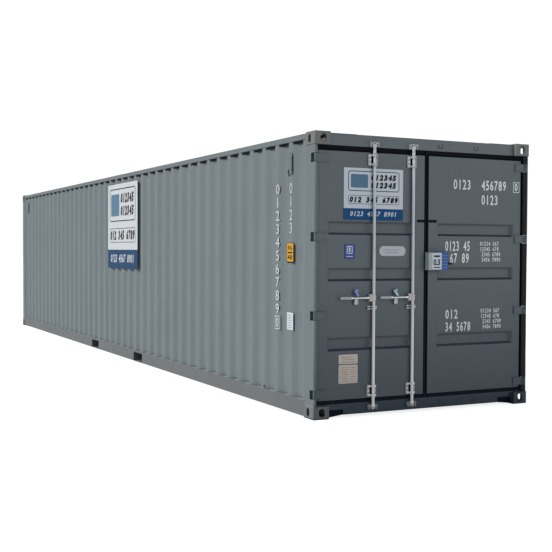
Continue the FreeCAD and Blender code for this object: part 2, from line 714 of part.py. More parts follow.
def roof():
    """The roof sheet, with shallow ribs pressed down across it."""
    under, top = "@roof_under", "@roof_under + $sheet"
    edge = "@half - $skin_setback"
    field = slab("roof_sheet", (f"-({edge})", edge), ("@rear + $casting_length", "@front - $casting_length"),
                 (under, top))
    ribs = int(value("floor((@wall_length - $roof_rib) / $roof_pitch)"))
    first = f"(@middle - {ribs - 1} * $roof_pitch / 2)"
    side = f"({edge} - $top_rail_width - $roof_margin)"
    outers, inners = [], []
    for index in range(ribs):
        start = f"{first} + {index} * $roof_pitch"
        for grow, group in ((1, outers), (0, inners)):
            mouth, foot = f"($roof_rib / 2 + {grow})", f"($roof_rib / 2 - $roof_rib_slope + {grow})"
            rib = tapered("roof_rib", (f"-{side} - {grow}", f"{side} + {grow}", f"-{mouth}", mouth),
                          (f"-{side} + $roof_rib_slope - {grow}", f"{side} - $roof_rib_slope + {grow}",
                           f"-{foot}", foot), ("0", f"$roof_rib_depth + {grow} * $sheet"))
            rib.Placement = FreeCAD.Placement(FreeCAD.Vector(), TURNS["y"])
            bind(rib, ".Placement.Base.y", start)
            bind(rib, ".Placement.Base.z", top)
            group.append(rib)
    return cut("roof_pressed", fuse("roof_whole", [field] + outers), inners)


def roof_ends():
    """The flat sheets over the rear header and over the front top rail."""
    across, upright = ("-@castings_inner", "@castings_inner"), ("@roof_under", "@roof_under + $sheet")
    return [slab("roof_rear", across, ("@rear + $end_recess", "@rear + $casting_length"), upright),
            slab("roof_front", across, ("@front - $casting_length", "@front - $skin_setback"), upright)]


wall = side_wall()
node(wall, "side_wall_left")
node(mirror_side("wall_mirrored", wall), "side_wall_right")
node(front_wall(), "front_wall")
node(roof(), "roof_panel")
node(gather("roof_end_strips", roof_ends()), "roof_end_sheets")
corner_plate = slab("corner_plate", ("-@castings_inner", "-@castings_inner + $corner_plate_width"),
                    ("@rear + $end_recess", "@rear + $casting_length"),
                    ("$height - $roof_drop", "$height - $roof_drop + $corner_plate"))
node(four_corners("corner_plates", corner_plate), "roof_corner_plates")


# ---------------------------------------------------------------- base and floor
def member_bay(name, start, finish):
    """Evenly spaced cross members between two places along the container."""
    plate, flange, tall = "$member_plate", "$member_flange", "$member_height"
    span = f"(({finish}) - ({start}))"
    count = f"floor({span} / $member_spacing)"
    step = f"({span} / ({count} + 1))"
    corners = [("0", "0"), (flange, "0"), (flange, plate), (plate, plate), (plate, f"{tall} - {plate}"),
               (flange, f"{tall} - {plate}"), (flange, tall), ("0", tall)]
    half_span = "@half - $skin_setback - $bottom_rail_plate"
    body = padded(name, "YZ_Plane", corners, f"2 * ({half_span})",
                  (f"-({half_span})", f"{start} + {step} - {flange} / 2", "@base + $member_lift"))
    return repeat(body, "Y_Axis", f"{step} * ({count} - 1)", count)


def pocket_plates(name, along, upright):
    """Plates across the base at both pockets; along holds pairs of distances from a pocket's middle."""
    across = ("-@half + $skin_setback", "@half - $skin_setback")
    plates = []
    for sign in "-+":
        for start, finish in along:
            reach = (f"{pocket_middle(sign)} {start}", f"{pocket_middle(sign)} {finish}")
            plates.append(slab(name, across, reach, upright))
    return gather(f"{name}_plates", plates)


pocket_reach = "$pocket_width / 2 + $pocket_plate"
rear_pocket, front_pocket = pocket_middle("-"), pocket_middle("+")
bays = [member_bay("rear_members", "@sill_rear", f"{rear_pocket} - {pocket_reach}"),
        member_bay("middle_members", f"{rear_pocket} + {pocket_reach}", f"{front_pocket} - {pocket_reach}"),
        member_bay("front_members", f"{front_pocket} + {pocket_reach}", "@front_rail_inner")]
node(gather("members", bays), "cross_members")
inside, outside = "$pocket_width / 2", "($pocket_width / 2 + $pocket_plate)"
pocket_floor, pocket_roof = "@base + $pocket_plate", "@base + $pocket_plate + $pocket_height"
whole = [(f"- {outside}", f"+ {outside}")]
deck = (pocket_roof, f"{pocket_roof} + $pocket_plate")
node(pocket_plates("pocket_deck", whole, deck), "fork_pocket_decks")
node(pocket_plates("pocket_strap", whole, ("@base", pocket_floor)), "fork_pocket_straps")
node(pocket_plates("pocket_side", [(f"- {outside}", f"- {inside}"), (f"+ {inside}", f"+ {outside}")],
                   (pocket_floor, pocket_roof)), "fork_pocket_sides")
floor_half = "(@half - $skin_setback - $bottom_rail_flange - $floor_margin)"
node(slab("floor_boards", (f"-{floor_half}", floor_half), ("@sill_rear", "@front_rail_inner"),
          ("@floor_under", "@floor_top")), "floor")


# ---------------------------------------------------------------- fittings on the walls
first_flat = "@rear + $casting_length + @wall_lead + $corrugation_pitch - @outer_flat / 2"
vent = slab("ventilator", ("-@half + @wall_plane - $vent_thickness", "-@half + @wall_plane"),
            (f"{first_flat} - $vent_width / 2", f"{first_flat} + $vent_width / 2"),
            ("$vent_level", "$vent_level + $vent_height"))
node(four_corners("vents", vent), "ventilators")


def tie_back():
    """The small ring on the bottom rail that ties an open door back."""
    half_ring = "$holdback_rise / 2"
    base = slab("ring_plate", ("-@half + $skin_setback + 1", "-@half + $skin_setback + 6"),
                (f"@rear + $holdback_distance - {half_ring}", f"@rear + $holdback_distance + {half_ring}"),
                ("@rail_top", f"@rail_top + {half_ring}"))
    top = round_bar("ring_top", "x", ("-@half + $skin_setback + 1", "@rear + $holdback_distance",
                                      f"@rail_top + {half_ring}"), half_ring, "5")
    hole = round_bar("ring_hole", "x", ("-@half", "@rear + $holdback_distance", f"@rail_top + {half_ring}"),
                     "$holdback_rise / 4", "2 * $bottom_rail_flange")
    return cut("ring", fuse("ring_blank", [base, top]), [hole])


ring = tie_back()
node(gather("rings", [ring, mirror_side("ring_right", ring)]), "tieback_rings")


# ---------------------------------------------------------------- hinges
def hinge_lugs():
    """Lugs inside the left post, one above and one below each hinge window, bored for the pin."""
    edge = "($blade_height / 2 + $window_gap)"
    corners = post_hollow() + [("$post_width - $post_plate", "$window_depth"),
                               ("$skin_setback + $post_plate", "$window_depth")]
    lugs = []
    for index in range(HINGE_COUNT):
        for low in (f"-{edge} - $lug_plate", edge):
            bottom = f"{hinge_level(index)} + {low}"
            plate = padded("lug_plate_blank", "XY_Plane", corners, "$lug_plate", ("-@half", "@rear", bottom))
            bore = round_bar("lug_bore", "z", ("-@pin_x", "@pin_y", bottom),
                             "$pin_radius + $lug_clearance", "$lug_plate")
            lugs.append(cut("hinge_lug", plate, [bore]))
    return lugs


def hinge_pins():
    """The pins of the left door, each through two lugs and a knuckle."""
    edge = "($blade_height / 2 + $window_gap + $lug_plate)"
    return [round_bar("hinge_pin", "z", ("-@pin_x", "@pin_y", f"{hinge_level(index)} - {edge}"),
                      "$pin_radius", f"2 * {edge}") for index in range(HINGE_COUNT)]


def hinge_blades():
    """The blades of the left door: a knuckle on the pin and a plate over the leaf."""
    knuckle, inset = "$knuckle_radius", "$pin_inset"
    back, face = "$leaf_recess", "$leaf_recess - $blade_thickness"
    tip = "$post_width + $leaf_side_gap + $blade_reach"
    corners = [(inset, f"{inset} - {knuckle}"), (f"{inset} + {knuckle}", inset), ("$leaf_recess", face),
               (tip, face), (tip, back), (f"{inset} + $blade_thickness", back),
               (f"{inset} - {knuckle}", inset)]
    blades = []
    for index in range(HINGE_COUNT):
        bottom = f"{hinge_level(index)} - $blade_height / 2"
        plate = padded("blade_plate", "XY_Plane", corners, "$blade_height", ("-@half", "@rear", bottom))
        barrel = round_bar("blade_knuckle", "z", ("-@pin_x", "@pin_y", bottom), knuckle, "$blade_height")
        bore = round_bar("blade_bore", "z", ("-@pin_x", "@pin_y", f"{bottom} - $window_gap"),
                         "$pin_radius + $pin_clearance", "$blade_height + 2 * $window_gap")
        blades.append(cut("hinge_blade", fuse("blade_whole", [plate, barrel]), [bore]))
    return blades


def both_sides(name, pieces):
    """A set of left-hand pieces and their mirror images, kept together."""
    left = gather(name + "_left", pieces)
    return gather(name, [left, mirror_side(name + "_right", left)])


node(both_sides("lugs", hinge_lugs()), "hinge_lugs")
node(both_sides("pins", hinge_pins()), "hinge_pins")
left_blades = gather("left_blades", hinge_blades())
node(left_blades, "left_hinge_blades")
node(mirror_side("right_blades", left_blades), "right_hinge_blades")


# ---------------------------------------------------------------- door leaves
def leaf_frame(name, hinge_edge, seam_edge, hinge_first):
    """Two tubular stiles with a channel above and below; edges run from low X to high X."""
    low, high = (hinge_edge, seam_edge) if hinge_first else (seam_edge, hinge_edge)
    widths = ("$hinge_stile", "$seam_stile")
    low_stile, high_stile = widths if hinge_first else widths[::-1]
    along, upright = ("@leaf_face", "@leaf_back"), ("@leaf_bottom", "@leaf_top")
    stiles = [tube(name + "_low_stile", (low, f"{low} + {low_stile}"), along, upright, "$stile_wall", "z"),
              tube(name + "_high_stile", (f"{high} - {high_stile}", high), along, upright,
                   "$stile_wall", "z")]
    span = (f"{low} + {low_stile}", f"{high} - {high_stile}")
    rails = [tube(name + "_rail", span, along, level, "$stile_wall", "x")
             for level in (("@leaf_bottom", "@leaf_bottom + $leaf_rail"),
                           ("@leaf_top - $leaf_rail", "@leaf_top"))]
    return fuse(name, stiles + rails)


def leaf_panel(name, low, high):
    """A sheet between the stiles, with three grooves pressed into it."""
    face = "@leaf_face"
    outers, inners = [], []
    panel = slab(name + "_sheet", (low, high), (face, f"{face} + $sheet"),
                 ("@leaf_bottom + $leaf_rail", "@leaf_top - $leaf_rail"))
    for middle in ("$groove_low", "$groove_middle", "$groove_high"):
        for grow, group in ((1, outers), (0, inners)):
            half_mouth = f"($groove_height / 2 + {grow})"
            half_foot = f"($groove_height / 2 - $groove_slope + {grow})"
            mouth = (f"{low} + $groove_margin - {grow}", f"{high} - $groove_margin + {grow}",
                     f"{middle} - {half_mouth}", f"{middle} + {half_mouth}")
            foot = (f"{mouth[0]} + $groove_end_slope", f"{mouth[1]} - $groove_end_slope",
                    f"{middle} - {half_foot}", f"{middle} + {half_foot}")
            group.append(tapered(name + "_groove", mouth, foot,
                                 (face, f"{face} + $groove_depth + {grow} * $sheet")))
    return cut(name, fuse(name + "_whole", [panel] + outers), inners)


def leaf_gasket(name, leaf, lip):
    """The rubber seal round a leaf's edges; leaf and lip are its inner and outer X spans."""
    along = ("@leaf_face + $gasket_front", "@leaf_face + $gasket_front + $gasket_depth")
    outer = slab(name + "_outer", lip, along,
                 ("$sill_height + $gasket_gap", "@post_top - $gasket_gap"))
    inner = slab(name + "_inner", leaf, along, ("@leaf_bottom", "@leaf_top"))
    return cut(name, outer, [inner])


def seam_strip(name, span):
    """A thin strip across the meeting edge of a leaf."""
    return slab(name, span, ("@leaf_face - $strip_thickness", "@leaf_face"),
                ("$seam_strip_level - $seam_strip_height / 2", "$seam_strip_level + $seam_strip_height / 2"))


node(leaf_frame("left_frame", "-@leaf_edge", "-$seam_left", True), "left_door_frame")
node(leaf_frame("right_frame", "@leaf_edge", "$seam_right", False), "right_door_frame")
node(leaf_panel("left_panel", "-@leaf_edge + $hinge_stile", "-$seam_left - $seam_stile"), "left_door_panel")
node(leaf_panel("right_panel", "$seam_right + $seam_stile", "@leaf_edge - $hinge_stile"), "right_door_panel")
lip_edge = "(@opening_half - $gasket_gap)"
left_lip = "(-$seam_left + $gasket_left_lip)"
node(leaf_gasket("left_gasket", ("-@leaf_edge", "-$seam_left"), (f"-{lip_edge}", left_lip)),
     "left_door_gasket")
node(leaf_gasket("right_gasket", ("$seam_right", "@leaf_edge"), (f"{left_lip} + $gasket_seam_gap", lip_edge)),
     "right_door_gasket")
node(seam_strip("left_strip", ("-$seam_left - $seam_strip_reach", "-$seam_left")), "left_seam_strip")
node(seam_strip("right_strip", ("$seam_right", "$seam_right + $seam_strip_reach + 10")), "right_seam_strip")


# ---------------------------------------------------------------- locking gear of the left leaf
def bracket(name, rod_x, low, high):
    """A plate on the leaf with a strap round the rod."""
    strap = "($rod_radius + $rod_clearance + $bracket_strap)"
    bore = "($rod_radius + $rod_clearance)"
    rise = f"({high}) - ({low})"
    plate = slab(name + "_plate", (f"{rod_x} - $bracket_half_width", f"{rod_x} + $bracket_half_width"),
                 ("@leaf_face - $bracket_strap", "@leaf_face"), (low, high))
    saddle = slab(name + "_saddle", (f"{rod_x} - {strap}", f"{rod_x} + {strap}"), ("@rod_y", "@leaf_face"),
                  (low, high))
    bow = round_bar(name + "_bow", "z", (rod_x, "@rod_y", low), strap, rise)
    hole = round_bar(name + "_hole", "z", (rod_x, "@rod_y", low), bore, rise)
    return cut(name, fuse(name + "_whole", [plate, saddle, bow]), [hole])


def bracket_set(name, rod_x):
    """The brackets of one rod: near the top, near the bottom and under the handle."""
    low, high = "@leaf_bottom + $bracket_inset", "@leaf_top - $bracket_inset"
    return [bracket(name + "_low", rod_x, low, f"{low} + $bracket_height"),
            bracket(name + "_guide", rod_x, "$guide_level", "$guide_level + $guide_height"),
            bracket(name + "_high", rod_x, f"{high} - $bracket_height", high)]


def cam(name, rod_x, low):
    """The hook at a rod's end, which points to the left when the rod is locked."""
    reach, thick = "$cam_reach", "$rod_radius * 0.7"
    corners = [("0", f"-{thick}"), (f"-0.8 * {reach}", f"-{thick}"), (f"-{reach}", "0"),
               (f"-0.95 * {reach}", "$rod_radius * 0.85"), (f"-0.6 * {reach}", "$rod_radius * 0.85"),
               (f"-0.6 * {reach}", "$rod_radius * 0.2"), ("0", thick)]
    return padded(name, "XY_Plane", corners, "$cam_height", (rod_x, "@rod_y", low))


def hub(name, rod_x):
    """The clevis on a rod that holds the handle's eye, with its pivot pin."""
    level = ("$handle_level - $hub_height / 2", "$handle_level + $hub_height / 2")
    across = (f"{rod_x} - $pivot_offset - $eye_radius", f"{rod_x} - $rod_radius / 2")
    front = "(@handle_back_y - $handle_thickness - $cheek_gap)"
    back = "(@handle_back_y + $cheek_gap)"
    cheeks = [slab(name + "_front_cheek", (across[0], rod_x), (f"{front} - $cheek_plate", front), level),
              slab(name + "_rear_cheek", across, (back, "@rod_y + $rod_radius / 2"), level)]
    pin = round_bar(name + "_pin", "y",
                    (f"{rod_x} - $pivot_offset", f"{front} - $cheek_plate", "$handle_level"),
                    "$pivot_radius", f"{back} - {front} + 2 * $cheek_plate")
    return cheeks + [pin]


def lock_rod(name, rod_x):
    """One rod with its cams, collars and hub."""
    low, high = "$rod_bottom", "@post_top + $rod_overlap"
    shaft = round_bar(name + "_shaft", "z", (rod_x, "@rod_y", low), "$rod_radius", f"({high}) - ({low})")
    ring = "($bracket_inset + $bracket_height + 1)"
    collars = [round_bar(name + "_collar", "z", (rod_x, "@rod_y", start), "$collar_radius", "$collar_height")
               for start in (f"@leaf_bottom + {ring}", f"@leaf_top - {ring} - $collar_height")]
    cams = [cam(name + "_low_cam", rod_x, low), cam(name + "_high_cam", rod_x, f"{high} - $cam_height")]
    return fuse(name, [shaft] + collars + cams + hub(name + "_hub", rod_x))


def handle(name, rod_x):
    """The flat bar that turns a rod, lying to the left of it."""
    pivot = f"({rod_x} - $pivot_offset)"
    tip = f"({pivot} - $handle_length)"
    front = "(@handle_back_y - $handle_thickness)"
    half_bar = "$handle_height / 2"
    bar = slab(name + "_bar", (tip, pivot), (front, "@handle_back_y"),
               (f"$handle_level - {half_bar}", f"$handle_level + {half_bar}"))
    eye = round_bar(name + "_eye", "y", (pivot, front, "$handle_level"), "$eye_radius", "$handle_thickness")
    grip_half = f"({half_bar} + $grip_swell)"
    grip = slab(name + "_grip", (tip, f"{tip} + $grip_length"), (f"{front} - $grip_swell", "@handle_back_y"),
                (f"$handle_level - {grip_half}", f"$handle_level + {grip_half}"))
    end = round_bar(name + "_end", "y", (tip, f"{front} - $grip_swell", "$handle_level"), grip_half,
                    "$handle_thickness + $grip_swell")
    bore = round_bar(name + "_bore", "y", (pivot, f"{front} - 1", "$handle_level"),
                     "$pivot_radius + $pin_clearance", "$handle_thickness + 2")
    return cut(name, fuse(name + "_whole", [bar, eye, grip, end]), [bore])


def handle_catch(name, rod_x):
    """The plate that keeps a handle: a cradle under it, an ear for a seal and a flap over it."""
    middle = f"({rod_x} - $catch_offset)"
    half_width = "$catch_width / 2"
    plate_face = "@leaf_face - $catch_plate"
    cradle_top = "($handle_level - $handle_height / 2 - $grip_swell - $catch_gap)"
    plate = slab(name + "_plate", (f"{middle} - {half_width}", f"{middle} + {half_width}"),
                 (plate_face, "@leaf_face"),
                 ("$handle_level - $catch_height / 2", "$handle_level + $catch_height / 2"))
    cradle = slab(name + "_cradle", (f"{middle} - {half_width} / 2", f"{middle} + {half_width} / 2"),
                  ("@handle_back_y - $handle_thickness", plate_face),
                  (f"{cradle_top} - $catch_plate", cradle_top))
    ear = slab(name + "_ear", (f"{middle} - {half_width} / 2", f"{middle} + {half_width} / 2"),
               ("@handle_back_y - $handle_thickness", "@handle_back_y - $handle_thickness + $catch_plate"),
               (f"{cradle_top} - $cradle_height - $catch_plate", cradle_top))
    seal = round_bar(name + "_seal", "y", (middle, "@rear - $catch_plate",
                                           f"{cradle_top} - $cradle_height / 2 - $catch_plate"),
                     "$seal_hole_radius", "@handle_back_y - @rear")
    boss = round_bar(name + "_boss", "y", (middle, f"{plate_face} - 2 * $catch_plate",
                                           "$handle_level + $catch_height * 0.42"),
                     "$pivot_radius", "2 * $catch_plate")
    flap = doc.addObject("Part::Box", name + "_flap")
    lean = FreeCAD.Rotation(FreeCAD.Vector(0, 1, 0), -25)
    flap.Placement = FreeCAD.Placement(FreeCAD.Vector(), lean)
    bind(flap, "Length", "$catch_width / 2")
    bind(flap, "Width", "$catch_plate")
    bind(flap, "Height", "$catch_height * 0.4")
    bind(flap, ".Placement.Base.x", f"{middle} + $catch_width * 0.1")
    bind(flap, ".Placement.Base.y", f"{plate_face} - 2 * $catch_plate")
    bind(flap, ".Placement.Base.z", "$handle_level + $handle_height / 2 + $grip_swell")
    return cut(name, fuse(name + "_whole", [plate, cradle, ear, boss, flap]), [seal])


def keeper(name, rod_x, low):
    """Two prongs on a plate, open outwards, that the cam lies between."""
    face = "@rear + $end_recess"
    plate = slab(name + "_plate", (f"{rod_x} - $keeper_left - $keeper_prong",
                                   f"{rod_x} + $keeper_right + $keeper_prong"),
                 (f"{face} - $bracket_strap", face), (low, f"{low} + $keeper_height"))
    prongs = [slab(name + "_prong", span, ("@rear + $keeper_tip", face), (low, f"{low} + $keeper_height"))
              for span in ((f"{rod_x} - $keeper_left - $keeper_prong", f"{rod_x} - $keeper_left"),
                           (f"{rod_x} + $keeper_right", f"{rod_x} + $keeper_right + $keeper_prong"))]
    return fuse(name, [plate] + prongs)


RODS = {"outer": "-$rod_outer", "inner": "-$rod_inner"}
brackets, catches, keepers = [], [], []
for place, rod_x in RODS.items():
    brackets += bracket_set(place + "_bracket", rod_x)
    catches.append(handle_catch(place + "_catch", rod_x))
    keepers.append(keeper(place + "_low_keeper", rod_x, "$rod_bottom - $keeper_drop"))
    keepers.append(keeper(place + "_high_keeper", rod_x,
                          "@post_top + $rod_overlap + $keeper_drop - $keeper_height"))
    node(lock_rod(place + "_rod", rod_x), place + "_lock_rod")
    node(handle(place + "_bar", rod_x), place + "_handle")
node(gather("brackets", brackets), "rod_brackets")
node(gather("catches", catches), "handle_catches")
node(gather("keepers", keepers), "cam_keepers")


# ---------------------------------------------------------------- lock box of the right leaf
def lock_box():
    """A hood over the padlock, open below and against the leaf, with the bolt's end beside it."""
    right = "$lock_left + $lock_width"
    shell = slab("hood", ("$lock_left", right), ("@lock_face", "@leaf_face"),
                 ("$lock_level", "$lock_level + $lock_height"))
    hollow = slab("hood_hollow", ("$lock_left + $lock_plate", f"{right} - $lock_plate"),
                  ("@lock_face + $lock_plate", "@leaf_face"),
                  ("$lock_level", "$lock_level + $lock_height - $lock_plate"))
    return cut("hood_shell", shell, [hollow])


node(lock_box(), "lock_box")
node(round_bar("bolt", "x", ("$lock_left + $lock_width", "(@lock_face + @leaf_face) / 2", "$bolt_level"),
               "$bolt_radius", "$bolt_length"), "lock_box_bolt")


# ---------------------------------------------------------------- checks and files
doc.recompute()
for item in doc.Objects:
    if "Invalid" in item.State or "Error" in item.State:
        raise RuntimeError(f"{item.Name} ({item.Label}) failed: {item.State}")
for piece in NODES:
    if piece.Shape.isNull() or not piece.Shape.isValid():
        raise RuntimeError(f"{piece.Label} has no valid shape")

os.makedirs("parts", exist_ok=True)
for piece in NODES:
    piece.Shape.exportStep(f"parts/{piece.Label}.step")
    print(piece.Label, len(piece.Shape.Solids), round(piece.Shape.Volume / 1e6, 2), "litres")
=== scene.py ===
"""Visual model of a forty-foot freight container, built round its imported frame.

Metres, +Z up, +Y towards the closed front end, so the doors are at -Y and the left side is at -X.
Each sub-assembly is a class that makes its pieces and puts them on the body that carries them.
"""

from __future__ import annotations

import json
import logging
import math
from dataclasses import dataclass, field
from enum import Enum
from typing import Iterable, Sequence

import bmesh
import bpy
from mathutils import Matrix, Vector, noise

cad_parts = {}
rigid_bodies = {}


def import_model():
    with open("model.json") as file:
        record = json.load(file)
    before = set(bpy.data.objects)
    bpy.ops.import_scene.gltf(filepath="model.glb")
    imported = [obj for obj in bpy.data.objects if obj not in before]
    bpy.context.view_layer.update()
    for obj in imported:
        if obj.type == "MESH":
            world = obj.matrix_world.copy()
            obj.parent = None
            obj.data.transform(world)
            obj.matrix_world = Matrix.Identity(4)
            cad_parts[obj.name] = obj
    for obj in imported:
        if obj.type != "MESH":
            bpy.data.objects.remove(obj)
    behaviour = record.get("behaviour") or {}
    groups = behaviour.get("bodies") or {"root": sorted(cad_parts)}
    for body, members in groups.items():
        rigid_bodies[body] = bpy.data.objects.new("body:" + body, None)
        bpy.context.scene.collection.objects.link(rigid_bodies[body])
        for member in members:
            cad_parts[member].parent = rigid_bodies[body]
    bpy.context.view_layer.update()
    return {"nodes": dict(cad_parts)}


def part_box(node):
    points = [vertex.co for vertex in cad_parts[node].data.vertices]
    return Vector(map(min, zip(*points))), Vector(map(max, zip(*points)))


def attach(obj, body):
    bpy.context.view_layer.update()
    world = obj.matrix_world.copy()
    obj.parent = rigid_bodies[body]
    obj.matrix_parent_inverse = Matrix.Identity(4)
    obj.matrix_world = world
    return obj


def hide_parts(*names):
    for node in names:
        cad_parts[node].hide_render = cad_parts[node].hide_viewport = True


log = logging.getLogger("container")

MM = 0.001
Point = Sequence[float]
Colour = tuple[float, float, float]
Span = tuple[float, float, float, float]
Outline = list[tuple[float, float]]

LOW_SHADE_AND_SPLASH_COLOUR: Colour = (0.010, 0.024, 0.046)
BURNT_RUST: Colour = (0.028, 0.012, 0.008)
EAVES_PAINTED_SHADOW: Colour = (0.004, 0.006, 0.010)


class Side(Enum):
    """Left or right for someone who faces the doors, with the sign of X on that side."""

    LEFT = -1
    RIGHT = 1


class Mixing(Enum):
    """How two colours are mixed."""

    MIX = "MIX"
    MULTIPLY = "MULTIPLY"


# ------------------------------------------------------------------ shader graphs
class Graph:
    """Short ways to add and join the nodes of one shader tree."""

    def __init__(self, tree: bpy.types.NodeTree) -> None:
        """Start on an empty tree.

        Args:
            tree: the node tree to fill.
        """
        self.tree = tree
        self.column = 0

    def node(self, kind: str, **settings: object) -> bpy.types.Node:
        """Add a node and set its properties.

        Args:
            kind: the node's type name.
            settings: property names and values.

        Returns:
            The new node.
        """
        made = self.tree.nodes.new(kind)
        made.location = (self.column * 180, 0)
        self.column += 1
        for name, value in settings.items():
            setattr(made, name, value)
        return made

    def feed(self, socket: bpy.types.NodeSocket, source: object) -> None:
        """Give a socket a link, a number or a colour.

        Args:
            socket: the input to feed.
            source: another node's output, a number, or three numbers.
        """
        if isinstance(source, bpy.types.NodeSocket):
            self.tree.links.new(source, socket)
        elif isinstance(source, (int, float)):
            socket.default_value = source
        elif len(socket.default_value) == 4:
            socket.default_value = (*source[:3], 1.0)
        else:
            socket.default_value = source

    def maths(self, operation: str, *operands: object, clamp: bool = False) -> bpy.types.NodeSocket:
        """Add a Math node.

        Args:
            operation: Blender's name for the operation.
            operands: its one to three inputs.
            clamp: whether the result stays within 0 and 1.

        Returns:
            The result's socket.
        """
        made = self.node("ShaderNodeMath", operation=operation, use_clamp=clamp)
        for socket, operand in zip(made.inputs, operands):
            self.feed(socket, operand)
        return made.outputs[0]

    def spread(self, source: object, low: float, high: float, bottom: float = 0.0,
               top: float = 1.0) -> bpy.types.NodeSocket:
        """Turn the span from low to high into bottom to top, smoothly and clamped.

        Args:
            source: the value to remap.
            low: the value that gives bottom.
            high: the value that gives top.
            bottom: lower end of the result.
            top: upper end of the result.

        Returns:
            The result's socket.
        """
        made = self.node("ShaderNodeMapRange", interpolation_type="SMOOTHSTEP")
        for name, value in (("Value", source), ("From Min", low), ("From Max", high), ("To Min", bottom),
                            ("To Max", top)):
            self.feed(made.inputs[name], value)
        return made.outputs["Result"]

    def between(self, source: object, low: float, high: float) -> bpy.types.NodeSocket:
        """Give 1 where a value lies between two limits and 0 elsewhere."""
        above, below = self.maths("GREATER_THAN", source, low), self.maths("LESS_THAN", source, high)
        return self.maths("MULTIPLY", above, below)

    def blend(self, factor: object, first: object, second: object,
              mode: Mixing = Mixing.MIX) -> bpy.types.NodeSocket:
        """Mix two colours.

        Args:
            factor: how much of the second colour shows.
            first: the colour at factor 0.
            second: the colour at factor 1.
            mode: how they are mixed.

        Returns:
            The mixed colour's socket.
        """
        made = self.node("ShaderNodeMix", data_type="RGBA", blend_type=mode.value)
        self.feed(made.inputs["Factor"], factor)
        self.feed(made.inputs[6], first)
        self.feed(made.inputs[7], second)
        return made.outputs[2]

    def mottle(self, vector: object, scale: float, detail: float = 3.0, roughness: float = 0.55,
               stretch: Point = (1.0, 1.0, 1.0)) -> bpy.types.NodeSocket:
        """Add noise in the row's own coordinates.

        Args:
            vector: the coordinates' socket.
            scale: cycles a metre.
            detail: octaves.
            roughness: strength of the finer octaves.
            stretch: factor of each coordinate before the noise is read.

        Returns:
            The noise's value socket.
        """
        mapping = self.node("ShaderNodeMapping")
        self.feed(mapping.inputs["Vector"], vector)
        self.feed(mapping.inputs["Scale"], stretch)
        made = self.node("ShaderNodeTexNoise")
        self.feed(made.inputs["Vector"], mapping.outputs[0])
        for name, value in (("Scale", scale), ("Detail", detail), ("Roughness", roughness)):
            self.feed(made.inputs[name], value)
        return made.outputs["Fac"]


def new_group(name: str, inputs: dict[str, object], outputs: dict[str, str]) -> tuple[Graph, object, object]:
    """Start a shader node group with named sockets.

    Args:
        name: the group's name.
        inputs: input names with their default, a number or a colour.
        outputs: output names with their socket type.

    Returns:
        The group's graph, its input node and its output node.
    """
    tree = bpy.data.node_groups.new(name, "ShaderNodeTree")
    for label, default in inputs.items():
        kind = "NodeSocketFloat" if isinstance(default, (int, float)) else "NodeSocketColor"
        socket = tree.interface.new_socket(label, in_out="INPUT", socket_type=kind)
        socket.default_value = default if kind == "NodeSocketFloat" else (*default, 1.0)
    for label, kind in outputs.items():
        tree.interface.new_socket(label, in_out="OUTPUT", socket_type=kind)
    graph = Graph(tree)
    return graph, graph.node("NodeGroupInput"), graph.node("NodeGroupOutput")


